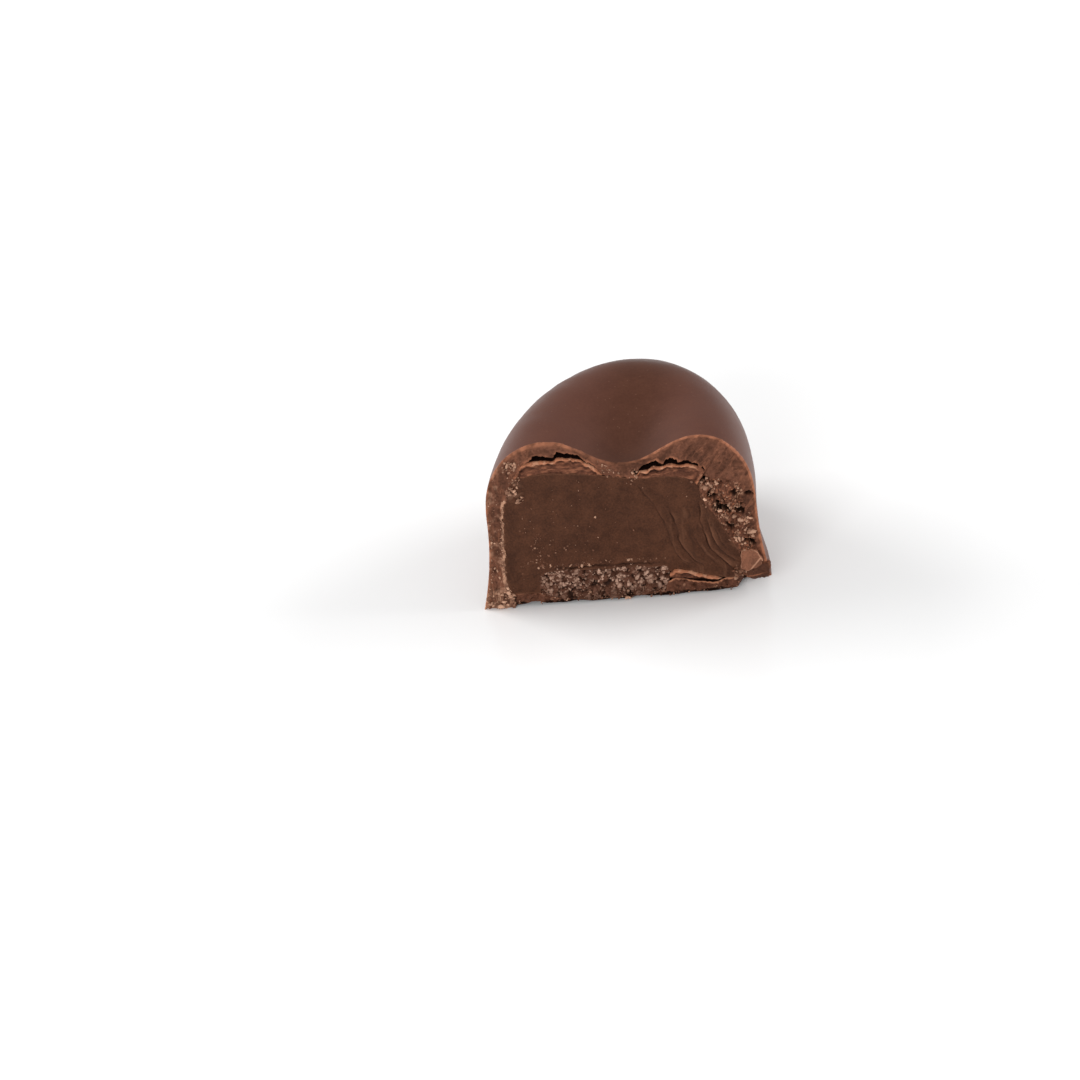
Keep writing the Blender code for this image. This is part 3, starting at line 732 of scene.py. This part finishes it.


# Each layer's sizes: along and up are its face's vertices, end is how far back it runs, edge is how
# its border is rounded, lip is how far in its relief sets on, and behind is how much painted shade its sides
# get.

filling = {
    "along": 700, "up": 300, "end": 16.0, "edge": 0.015, "lip": 0.02, "behind": 0.35,
    "look": {
        "light": (0.089, 0.0332, 0.0166), "dark": (0.047, 0.0168, 0.0083),
        # rim is the colour of painted highlight, deep the colour of painted shade
        "rim": (0.165, 0.070, 0.038), "pale": (0.24, 0.13, 0.085), "deep": (0.018, 0.008, 0.005),
        "rough": 0.55, "specular": 0.09, "specks": 0.0, "grain": 1.5, "bump": 0.25,
    },
}


def dragRidges(x, z):
    # ridge = height * exp(-d / width), where d is the way from the mark's line and the width is short
    # on its left and long on its right. A furrow runs close on its left
    ridge, furrow, apart = np.zeros(x.shape), np.zeros(x.shape), 0.0
    for place, (points, tall, fall) in enumerate(dragMarks):
        line = curveThrough(points, 80)[::-1]
        lineX = np.interp(z, line[:, 1], line[:, 0])
        slope = np.interp(z, line[:, 1], np.gradient(line[:, 0], line[:, 1]))
        off = (x - lineX + 0.10 * layered(x, z, 0.9, 61, 2)) / np.sqrt(1.0 + slope**2)
        ends = ease(z, line[-1, 1], line[-1, 1] - 0.9) * ease(z, line[0, 1] - 0.1, line[0, 1] + 0.7)
        fade = tall * ends * (0.70 + 0.45 * waves(z, place * 7.0, 0.0, 1.3, 63))
        ridge = ridge + fade * np.exp(-np.where(off < 0.0, -off / 0.05, off / fall))
        furrow = furrow + 0.8 * fade * bell(off + 0.10, 0.06)
        apart = apart + off / len(dragMarks)
    # fine arcs run along with the marks, on the mean way from all of them
    arcs = waves(apart, 0.12 * z, 0.0, 0.24, 60) + 0.5 * waves(apart, 0.2 * z, 3.0, 0.11, 62)
    return ridge, furrow, arcs * ease(apart, -3.2, -1.2) * ease(z, 9.5, 7.5)


def fillingRelief(x, z, border, fromTop):
    # smears, the drag marks, and over the crisp layer a crack along the seam with a shelf above it
    ridge, furrow, arcs = dragRidges(x, z)
    smear = 0.045 * layered(x + 0.4 * z, z * 0.5, 1.7, 65, 3)
    fine = 0.020 * layered(x, z, 0.3, 67, 3)
    number = cells(x, z, 0.7, 69)[1]
    ledge = ease(x, -7.25, -6.85) * ease(x, 3.0, 2.0) * (0.55 + 0.6 * waves(x, 0.0, 0.0, 1.3, 70))
    ledge = ledge * ease(x, 1.5, -1.5) + 0.5 * ledge * ease(x, -1.5, 1.5)
    seam = z - 3.45 + 0.03 * (x + 5.0) * ease(x, -5.0, 3.0)
    seam = seam - 0.07 * waves(x, 0.0, 0.0, 0.9, 71) - 0.05 * waves(x, 0.0, 0.0, 0.25, 72)
    cut = bell(seam, 0.075) * ledge
    shelf = bell(seam - 0.28, 0.18) * ledge * (0.5 + 0.5 * layered(x, z, 0.35, 73, 2))
    deeper = 0.03 + smear + fine - ridge + furrow - 0.014 * arcs + 0.20 * cut - 0.07 * shelf
    corner = ease(np.hypot(x + 8.7, z - 11.3), 1.3, 0.3)
    # painted highlight on the drag marks' crests, the fine arcs, the shelf and along the border; painted
    # shade in the furrows, the arcs' troughs and the crack
    rim = np.minimum(90.0 * ridge**2, 0.85) + 0.35 * ease(arcs, 0.3, 1.1) + 0.35 * shelf
    return deeper, {
        "pale": 0.4 * corner * ease(number, 0.5, 0.7),
        "rim": np.minimum(rim + 0.35 * ease(border, 0.16, 0.02), 0.9),
        "deep": np.minimum(7.0 * furrow + 0.30 * ease(arcs, -0.3, -1.1) + 0.75 * cut, 0.85),
    }


innerCoat = {
    "lobe": {"along": 240, "up": 40, "end": 11.0, "edge": 0.04, "lip": 0.06, "behind": 0.95},
    "ledge": {"along": 160, "up": 24, "end": 8.5, "edge": 0.04, "lip": 0.06, "behind": 0.95},
    "look": {
        "light": (0.165, 0.062, 0.035), "dark": (0.090, 0.033, 0.019),
        # rim and pale are colours of painted highlight here, deep the colour of painted shade
        "rim": (0.42, 0.165, 0.088), "pale": (0.56, 0.29, 0.18), "deep": (0.012, 0.005, 0.004),
        "rough": 0.66, "specular": 0.07, "specks": 0.15, "grain": 1.3, "bump": 0.5,
    },
}


def coatRelief(x, z, border, fromTop):
    # the upper edge stands out as a lit lip, a furrow runs under it, and flakes cover the rest
    uneven = 0.05 * layered(x, z * 1.6, 0.7, 74, 4)
    flake = layered(x * 0.55, z * 1.8, 0.32, 78, 3)
    wide = 0.27 + 0.12 * waves(x, 0.0, 0.0, 0.6, 75) + 0.06 * waves(x, 0.0, 0.0, 0.2, 79)
    lip = ease(fromTop, wide + 0.10, wide - 0.10)
    lip = lip * (1.0 - 0.7 * ease(x, 6.1, 6.7) * ease(z, 3.0, 5.0)) * (1.0 - 0.5 * ease(-x, 7.3, 8.1))
    furrow = bell(fromTop - wide - 0.20, 0.10) * (0.6 + 0.5 * layered(x, z, 0.5, 87, 2))
    band = ease(flake, 0.0, 0.8) * (1.0 - lip)
    # painted highlight on the lip by pale and rim and on the flakes' crests by rim; painted shade in the
    # furrow and between the flakes
    return uneven + 0.04 - 0.16 * lip + 0.10 * furrow - 0.05 * flake, {
        "pale": 0.55 * lip * ease(layered(x, z, 0.3, 77, 2), 0.1, 0.6),
        "rim": lip * (0.72 + 0.5 * flake) + 0.40 * band,
        "deep": 0.6 * furrow + 0.30 * ease(flake, -0.1, -0.8) * (1.0 - lip),
    }


crisp = {
    "along": 360, "up": 90, "end": 10.5, "edge": 0.02, "lip": 0.05, "behind": 0.95,
    "look": {
        **cutLook,
        "light": (0.150, 0.062, 0.037), "dark": (0.072, 0.028, 0.016),
        # rim is the colour of painted highlight on the grains' edges
        "rim": (0.40, 0.225, 0.150), "pale": (0.58, 0.360, 0.265),
        "specular": 0.12, "grain": 2.0, "bump": 0.6,
    },
}


def crispRelief(x, z, border, fromTop):
    # faceted grains with gaps between them, some pale, browner near the foot
    wx, wz = x + 0.12 * layered(x, z, 0.5, 80, 2), z + 0.12 * layered(x, z, 0.5, 82, 2)
    near, number, facet = cells(wx, wz, 0.52, 81)
    deeper = 0.08 + 0.34 * facet + 0.26 * ease(near, 0.3, 0.75) + 0.08 * layered(x, z, 0.9, 83, 3)
    paleness = (0.75 - 0.6 * ease(z, 1.5, 0.7)) * ease(x, -7.0, -6.2)
    return deeper, {
        "pale": ease(number, 0.55, 0.2) * ease(near, 0.55, 0.2) * paleness,
        # painted shade in the gaps between the grains
        "deep": ease(deeper, 0.25, 0.5) * 0.85,
    }


base = {
    "along": 480, "up": 36, "end": 17.0, "edge": 0.08, "lip": 0.1, "behind": 0.95,
    "look": {
        **cutLook,
        "light": (0.145, 0.056, 0.032), "dark": (0.080, 0.030, 0.017),
        # rim is the colour of painted highlight; deep, from cutLook, of painted shade
        "rim": (0.42, 0.175, 0.096), "pale": (0.50, 0.26, 0.16),
        "specular": 0.10, "grain": 1.2,
    },
}


def baseRelief(x, z, border, fromTop):
    # chips and small facets, and a foot that draws back under the sweet
    chips = layered(x, z, 0.8, 85, 4)
    near, number, facet = cells(x + 0.15 * chips, z, 0.34, 86)
    deeper = 0.10 + 0.12 * chips + 0.20 * facet + 0.14 * (near - 0.4) + 0.25 * ease(z, 0.40, 0.05)
    # painted highlight along the top edge; painted shade in the hollows and a painted shadow along the
    # bottom edge
    return deeper, {
        "pale": ease(number, 0.80, 0.95) * ease(near, 0.5, 0.2) * 0.40,
        "rim": ease(fromTop, 0.22, 0.05) * (0.30 + 0.75 * ease(x, 2.5, 4.0) + 0.5 * chips),
        "deep": 0.6 * ease(deeper, 0.15, 0.45) + ease(z, 0.44, 0.16) * (0.8 + 0.8 * chips),
    }


def underLobe(top):
    # from a lobe's first point to its last, 0.03 below the filling's top edge
    line = curveThrough(edges["fillingTop"], 400)
    start, stop = np.interp([top[0][0], top[-1][0]], line[:, 0], line[:, 0])
    reach = np.linspace(start, stop, 12)[1:-1]
    return [top[0], *zip(reach, np.interp(reach, line[:, 0], line[:, 1]) - 0.03), top[-1]]


def makeLayers():
    cream, coat, grain, plate = (
        chocolate(name, piece["look"])
        for name, piece in (
            ("fillingCream", filling),
            ("innerCoatChocolate", innerCoat),
            ("crispGrain", crisp),
            ("baseChocolate", base),
        )
    )
    lobe, ledge = innerCoat["lobe"], innerCoat["ledge"]
    for name, slot, node, size, material, relief, lines in (
        ("softFilling", "filling", "filling", filling, cream, fillingRelief,
         ("fillingTop", "fillingFoot", "fillingLeft", "fillingRight")),
        ("coatLobeLeft", "inner_chocolate", "inner_coat_left", lobe, coat, coatRelief, ("lobeLeftTop",)),
        ("coatLobeRight", "inner_chocolate", "inner_coat_right", lobe, coat, coatRelief, ("lobeRightTop",)),
        ("coatLedge", "inner_chocolate", "inner_coat_foot", ledge, coat, coatRelief,
         ("ledgeTop", "ledgeFoot")),
        ("crispLayer", "crisp", "crisp_layer", crisp, grain, crispRelief, ("crispTop", "crispFoot")),
        ("basePlate", "base_chocolate", "base", base, plate, baseRelief, ("baseTop", "baseFoot")),
    ):
        border = [edges[line] for line in lines]
        if len(border) == 1:
            border.append(underLobe(border[0]))
        standIn(layerPiece(name, size, material, relief, *border), slot, node)


# Crumbs and larger broken bits

crumbs = {
    "planes": 10,  # of each crumb, the last one opposite the mean of the others
    "sharp": 14.0,
    "rough": 0.22,
    "tries": 40,  # places drawn for each crumb that a field wants
    "clinging": 5,  # small ones beside each large one
    "look": {
        **cutLook,
        "light": (0.155, 0.060, 0.034), "dark": (0.085, 0.032, 0.018),
        # rim is the colour of painted highlight on the lumps' edges
        "rim": (0.30, 0.125, 0.070), "pale": (0.68, 0.400, 0.270),
        "specular": 0.08, "grain": 2.5, "bump": 0.4,
    },
}


def sphereOf(detail):
    ball = bmesh.new()
    bmesh.ops.create_icosphere(ball, subdivisions=detail, radius=1.0)
    ways = np.array([vertex.co[:] for vertex in ball.verts])
    faces = np.array([[vertex.index for vertex in face.verts] for face in ball.faces])
    ball.free()
    return ways, faces


def crystal(ways, normals, offsets, sharp):
    # along d the radius is (sum over the planes of max(0, d . n / o)^sharp)^(-1/sharp). The second
    # result is 1 along the edges, where two planes count alike
    facing = np.clip(np.einsum("lpc,dc->lpd", normals, ways), 0.0, None) / offsets
    ranked = np.sort(facing, axis=1)
    lit = ease(ranked[:, -2] / ranked[:, -1], 0.86, 0.99)
    return np.sum(facing**sharp, axis=1) ** (-1.0 / sharp), lit


def joinedLumps(name, material, spots, shape, lit, faces):
    points = spots[:, None, 0:3] + shape
    points[..., 2] = np.maximum(points[..., 2], 0.0)
    count = shape.shape[1]
    joined = faces[None] + count * np.arange(len(spots))[:, None, None]
    # rim: painted highlight along the edges between facets
    masks = {"pale": np.repeat(spots[:, 6], count), "rim": lit.ravel()}
    return meshPiece(name, points.reshape(-1, 3), joined.reshape(-1, 3).tolist(), masks, material)


def lumps(name, material, spots, seed):
    # spots has a row for each lump: x, y, z, its three half sizes and its tone. Each is a crystal of
    # its own planes, turned its own way
    rng = np.random.default_rng(seed)
    count, planes = len(spots), crumbs["planes"]
    ways, faces = sphereOf(2)
    normals = rng.normal(size=(count, planes, 3))
    normals /= np.linalg.norm(normals, axis=2, keepdims=True)
    normals[:, -1] = -normals[:, :-1].mean(axis=1)
    normals[:, -1] /= np.linalg.norm(normals[:, -1], axis=1, keepdims=True)
    offsets = rng.uniform(0.60, 1.0, (count, planes, 1))
    radius, lit = crystal(ways, normals, offsets, crumbs["sharp"])
    shape = np.minimum(radius, 1.3)[..., None] * ways
    away = 10.0 * np.arange(count)[:, None]
    bumpy = waves(shape[..., 0] + away, shape[..., 1], shape[..., 2], 0.45, seed)
    shape = shape * (1.0 + crumbs["rough"] * bumpy)[..., None] * spots[:, None, 3:6]
    axes = np.linalg.qr(rng.normal(size=(count, 3, 3)))[0]
    axes = axes * np.sign(np.linalg.det(axes))[:, None, None]
    return joinedLumps(name, material, spots, np.einsum("ldc,lce->lde", shape, axes), 0.35 * lit, faces)


def onFace(x, z):
    # where the cut is, a little inside its rim
    return insideBean(1.015 * x, knifePlane(x, z), z + 0.1)


def sprinkle(rng, count, low, high, chance):
    # places drawn in a box of x and z and kept by their chance
    tries = crumbs["tries"] * count
    x, z = (rng.uniform(a, b, tries) for a, b in zip(low, high))
    kept = rng.random(tries) < chance(x, z) * onFace(x, z)
    return np.stack([x[kept][:count], z[kept][:count]], axis=1)


def spotsOn(rng, places, depth, small, large, tones=(0.05, 0.75), sunk=0.35):
    # sizes favour the small ones, and each lump is partly sunk into the face behind it
    count = len(places)
    size = small + (large - small) * rng.random(count) ** 2.2
    stretch = rng.uniform(0.5, 1.35, (count, 3)) * size[:, None]
    x, z = places[:, 0], np.maximum(places[:, 1], 0.5 * size)
    y = depth(x, z) + (sunk - 0.5) * size
    tone = tones[0] + (tones[1] - tones[0]) * rng.random(count) ** 2.5
    return np.column_stack([x, y, z, stretch, tone])


def shellDepth(x, z):
    return knifePlane(x, z) + shellRelief(x, z)[0]


def layerDepth(relief):
    # of a layer's face, well inside its border
    return lambda x, z: knifePlane(x, z) + relief(x, z, np.ones(x.shape), np.ones(x.shape))[0]


# Chances, from 0 to 1 at each place of the cut

def evenly(x, z):
    return np.full(x.shape, 0.5)


def lowDown(start, full):
    return lambda x, z: ease(z, start, full)


def around(middleX, middleZ, width):
    return lambda x, z: bell(x - middleX, width) * bell(z - middleZ, width)


def besideFilling(x, z):
    left = curveThrough(edges["fillingLeft"], 80)
    return bell(x + 0.10 - np.interp(z, left[:, 1], left[:, 0]), 0.15)


def besideRim(x, z):
    return bell(x + wallEdge(z) - 0.22, 0.10)


def overFilling(x, z):
    return ease(z, 9.5, 5.0) * ease(x, 2.0, -5.0)


def alongSeam(x, z):
    return ease(np.abs(z - 3.72), 0.3, 0.05)


def inCrisp(x, z):
    top, foot = (curveThrough(edges[k], 120) for k in ("crispTop", "crispFoot"))
    above = z - np.interp(x, foot[:, 0], foot[:, 1])
    below = np.interp(x, top[:, 0], top[:, 1]) - z
    ends = ease(x, -7.6, -6.9) * ease(x, 3.9, 3.2)
    return ease(above, -0.30, 0.05) * ease(below, -0.22, 0.0) * ends


def makeCrumbs():
    # each field: count, low corner, high corner, chance, smallest and largest half size, and tones
    onShell = (
        (110, (-10.4, 1.4), (-9.2, 10.6), besideFilling, 0.03, 0.11, (0.15, 0.9)),
        (80, (-12.0, 0.4), (-10.4, 10.5), besideRim, 0.03, 0.10, (0.1, 1.0)),
        (70, (-11.4, 1.5), (-9.9, 12.5), evenly, 0.025, 0.07, (0.0, 1.0)),
        (60, (-11.6, 0.05), (-9.3, 2.4), lowDown(2.4, 0.6), 0.06, 0.22, (0.1, 1.0)),
        (22, (-9.6, 12.4), (-7.4, 14.4), around(-8.6, 13.5, 0.55), 0.05, 0.17, (0.2, 1.0)),
        (26, (-9.4, 9.8), (-7.6, 12.2), around(-8.65, 11.2, 0.35), 0.05, 0.18, (0.2, 1.0)),
        (14, (-8.6, 9.4), (-7.2, 11.2), around(-7.95, 10.5, 0.28), 0.05, 0.15, (0.2, 1.0)),
        (30, (-9.4, 11.0), (-7.0, 13.0), around(-8.3, 12.1, 0.40), 0.04, 0.13, (0.1, 0.9)),
        (26, (-2.4, 11.6), (0.6, 13.6), around(-0.9, 12.6, 0.6), 0.04, 0.13, (0.1, 0.8)),
        (26, (0.6, 11.0), (2.6, 12.8), around(1.4, 11.9, 0.45), 0.04, 0.17, (0.2, 1.0)),
        (46, (5.4, 9.6), (9.0, 12.0), around(7.3, 10.6, 0.9), 0.05, 0.20, (0.0, 1.0)),
        (130, (6.2, 1.4), (11.6, 10.8), crumbling, 0.04, 0.15, (0.0, 0.8)),
        (26, (6.2, 1.4), (11.6, 8.4), crumbling, 0.08, 0.24, (0.4, 1.0)),
        (80, (-9.4, 0.15), (8.6, 1.2), lowDown(1.2, 0.3), 0.04, 0.13, (0.0, 0.8)),
        (40, (8.6, 0.15), (9.9, 2.6), evenly, 0.05, 0.20, (0.0, 0.5)),
        (16, (-11.5, 0.1), (-9.2, 2.6), lowDown(2.6, 1.0), 0.10, 0.24, (0.5, 1.0)),
    )
    onFilling = (
        (64, (-8.6, 3.8), (1.5, 9.0), overFilling, 0.035, 0.10),
        (26, (-7.3, 3.6), (-6.7, 7.0), evenly, 0.03, 0.09),
        (60, (-7.4, 3.3), (2.8, 4.1), alongSeam, 0.04, 0.14),
        (16, (-8.9, 1.6), (3.4, 4.0), evenly, 0.03, 0.07),
        (30, (-8.6, 8.5), (6.0, 12.0), evenly, 0.025, 0.07),
    )
    rng = np.random.default_rng(5)

    def spotsOf(fields, depth):
        return [
            spotsOn(rng, sprinkle(rng, count, low, high, chance), depth, small, large, *tones)
            for count, low, high, chance, small, large, *tones in fields
        ]

    spots = spotsOf(onShell, shellDepth)
    largeOnes = np.array([
        (7.25, 10.55), (7.8, 10.3), (6.8, 9.0), (7.85, 7.75), (8.1, 7.45), (8.95, 5.05), (9.25, 4.9),
        (9.8, 5.8), (10.4, 5.6), (10.3, 6.9), (-8.7, 13.7), (-8.4, 11.3), (-10.5, 3.7), (-9.7, 1.1),
        (-0.2, 0.25),
    ])
    spots.append(spotsOn(rng, largeOnes, shellDepth, 0.14, 0.26, (0.6, 1.0)))
    cling = np.repeat(largeOnes, crumbs["clinging"], axis=0)
    cling = cling + rng.normal(0.0, 0.24, cling.shape)
    cling = cling[onFace(cling[:, 0], cling[:, 1])]
    spots.append(spotsOn(rng, cling, shellDepth, 0.05, 0.15, (0.3, 1.0)))
    piece = lumps("shellCrumbs", chocolate("crumbChocolate", crumbs["look"]), np.vstack(spots), 7)
    standIn(piece, "milk_chocolate", "shell")

    spots = np.vstack(spotsOf(onFilling, layerDepth(fillingRelief)))
    piece = lumps("fillingCrumbs", chocolate("fillingCrumb", crumbs["look"]), spots, 9)
    standIn(piece, "filling", "filling")

    grains = sprinkle(rng, 620, (-7.6, 0.2), (4.0, 3.6), inCrisp)
    spots = spotsOn(rng, grains, layerDepth(crispRelief), 0.05, 0.17, (0.0, 1.0), 0.30)
    paleness = 0.25 + 0.75 * ease(spots[:, 2], 0.6, 1.8) * ease(spots[:, 0], -7.5, -6.4)
    spots[:, 6] = spots[:, 6] ** 0.5 * paleness
    piece = lumps("crispGrains", chocolate("crispGrainPale", crisp["look"]), spots, 11)
    standIn(piece, "crisp", "crisp_layer")


splinter = {
    "outline": [
        (9.35, 3.9), (10.26, 4.11), (10.73, 3.77), (11.12, 2.75), (10.79, 2.39), (9.96, 2.18), (9.3, 2.3),
    ],
    "front": [(-0.10, -0.97, 0.22, 0.46), (0.55, -0.75, -0.35, 0.66), (0.0, 1.0, 0.0, 0.8)],
    "narrowing": 0.15,
    "behind": -0.10,
    "sharp": 10.0,
    # edge: how strong the painted highlight along the facets' edges is
    "edge": 0.40,
    "tone": 0.03,
    "look": {
        **crumbs["look"],
        "light": (0.235, 0.090, 0.050), "dark": (0.115, 0.043, 0.024),
        # rim is the colour of that painted highlight
        "rim": (0.62, 0.33, 0.21),
        "grain": 1.8,
    },
}
footLump = {
    "outline": [
        (9.75, 2.3), (10.8, 2.5), (11.55, 2.75), (11.62, 1.9), (11.36, 1.12), (10.12, 0.95), (9.7, 1.4),
    ],
    "front": [(-0.1, -0.95, 0.30, 0.55), (0.1, -0.85, -0.50, 0.66), (0.0, 1.0, 0.0, 1.5)],
    "narrowing": 0.30,
    "behind": 0.20,
    "sharp": 8.0,
    # edge: how strong the painted highlight along the facets' edges is
    "edge": 0.55,
    "tone": 0.0,
    "look": {
        **crumbs["look"],
        "light": (0.102, 0.039, 0.022), "dark": (0.050, 0.019, 0.011),
        # rim is the colour of that painted highlight
        "rim": (0.32, 0.120, 0.062),
        "grain": 1.4,
    },
}
brokenLevel = 3.0  # where the knife's plane is taken for both, clear of the recess below them


def brokenBit(name, bit, seed):
    # its outline on the cut gives a plane for each side, and each row of front a further plane and its
    # distance
    corners, front = np.array(bit["outline"]), np.array(bit["front"])
    middle = corners.mean(axis=0)
    along = np.roll(corners, -1, axis=0) - corners
    side = np.stack([along[:, 1], np.zeros(len(along)), -along[:, 0]], axis=1)
    reach = np.einsum("ij,ij->i", np.insert(corners - middle, 1, 0.0, axis=1), side)
    side = side * np.sign(reach)[:, None] / np.linalg.norm(side, axis=1, keepdims=True)
    side[:, 1] = bit["narrowing"]
    reach = np.abs(reach) / np.linalg.norm(along, axis=1)
    normals = np.vstack([side, front[:, :3] / np.linalg.norm(front[:, :3], axis=1, keepdims=True)])[None]
    offsets = np.append(reach, front[:, 3])[None, :, None]
    ways, faces = sphereOf(6)
    radius, lit = crystal(ways, normals, offsets, bit["sharp"])
    shape = radius[..., None] * ways
    x, y, z = (shape[..., k] for k in range(3))
    coarse, fine = waves(x, y, z, 0.5, seed), waves(x, y, z, 0.17, seed + 1)
    shape = shape * (1.0 + 0.12 * coarse + 0.045 * fine)[..., None]
    # painted highlight along the edges
    lit = lit * bit["edge"] * (0.8 + 0.9 * coarse)
    depth = knifePlane(middle[:1], np.array([brokenLevel]))[0] + bit["behind"]
    spot = np.array([[middle[0], depth, middle[1], 1.0, 1.0, 1.0, bit["tone"]]])
    piece = joinedLumps(name, chocolate(name + "Chocolate", bit["look"]), spot, shape, lit, faces)
    standIn(piece, "milk_chocolate", "shell")


# Stage

stage = {
    "cameraHeight": 31.74,  # degrees above the floor
    "cameraSide": 10.25,
    "roll": 5.87,
    "distance": 344.07,
    "frameWidth": 89.37,
    "aim": (0.0, 6.0, 6.5),
    "aimRight": 7.644,  # where the aimed point lands, from the frame's middle
    "aimUp": 3.883,
    "sensor": 36.0,
    "skyLight": 0.50,
    "lampAim": (0.0, 0.0, 0.005),
    "lamps": (  # name, place in metres, width and height, power
        ("softboxLeft", (-0.60, 0.15, 0.26), (0.45, 0.40), 4.2),
        ("softboxRight", (0.60, 0.20, 0.26), (0.45, 0.40), 3.6),
        ("softboxFront", (-0.15, -0.65, 0.28), (0.40, 0.30), 2.5),
    ),
    "floor": 3.0,  # half its width in metres
    "floorTone": 0.93,
    "floorRough": 0.22,
}


def makeCamera():
    tall, side, roll = (math.radians(stage[k]) for k in ("cameraHeight", "cameraSide", "roll"))
    back = Vector((math.sin(side) * math.cos(tall), -math.cos(side) * math.cos(tall), math.sin(tall)))
    level = Vector((math.cos(side), math.sin(side), 0.0))
    upright = back.cross(level)
    right = level * math.cos(roll) - upright * math.sin(roll)
    up = level * math.sin(roll) + upright * math.cos(roll)
    aim = Vector(metres(np.array(stage["aim"])))
    place = aim + back * stage["distance"] * mm
    middle = aim - right * stage["aimRight"] * mm - up * stage["aimUp"] * mm
    z = (place - middle).normalized()
    x = up.cross(z).normalized()
    lens = bpy.data.cameras.new("camera")
    lens.sensor_width = stage["sensor"]
    lens.lens = stage["sensor"] * stage["distance"] / stage["frameWidth"]
    lens.clip_start, lens.clip_end = 0.01, 20.0
    camera = bpy.data.objects.new("camera", lens)
    camera.matrix_world = Matrix.Translation(place) @ Matrix((x, z.cross(x), z)).transposed().to_4x4()
    bpy.context.scene.collection.objects.link(camera)
    bpy.context.scene.camera = camera


def softbox(name, place, size, power):
    light = bpy.data.lights.new(name, "AREA")
    light.shape = "RECTANGLE"
    light.size, light.size_y = size
    light.energy = power
    lamp = bpy.data.objects.new(name, light)
    lamp.location = place
    lamp.rotation_mode = "QUATERNION"
    lamp.rotation_quaternion = (Vector(place) - Vector(stage["lampAim"])).to_track_quat("Z", "Y")
    bpy.context.scene.collection.objects.link(lamp)


def makeStage():
    world = bpy.data.worlds.new("studio")
    world.use_nodes = True
    sky = world.node_tree.nodes["Background"]
    sky.inputs["Color"].default_value = (1.0, 1.0, 1.0, 1.0)
    sky.inputs["Strength"].default_value = stage["skyLight"]
    bpy.context.scene.world = world
    for lamp in stage["lamps"]:
        softbox(*lamp)

    mesh = bpy.data.meshes.new("floor")
    half = stage["floor"]
    corners = [(-half, -half, 0.0), (half, -half, 0.0), (half, half, 0.0), (-half, half, 0.0)]
    mesh.from_pydata(corners, [], [(0, 1, 2, 3)])
    floor = bpy.data.objects.new("floor", mesh)
    bpy.context.scene.collection.objects.link(floor)
    white = bpy.data.materials.new("paleFloor")
    white.use_nodes = True
    shader = white.node_tree.nodes["Principled BSDF"]
    shader.inputs["Base Color"].default_value = (*(stage["floorTone"],) * 3, 1.0)
    shader.inputs["Roughness"].default_value = stage["floorRough"]
    mesh.materials.append(white)
    bpy.context.scene.view_settings.view_transform = "Standard"


makeCamera()
makeStage()
print("scene: camera, lights and floor")
makeShell()
print("scene: shell")
makeLayers()
print("scene: layers")
makeCrumbs()
brokenBit("splinter", splinter, 21)
brokenBit("footLump", footLump, 23)
print("scene: crumbs and splinter")
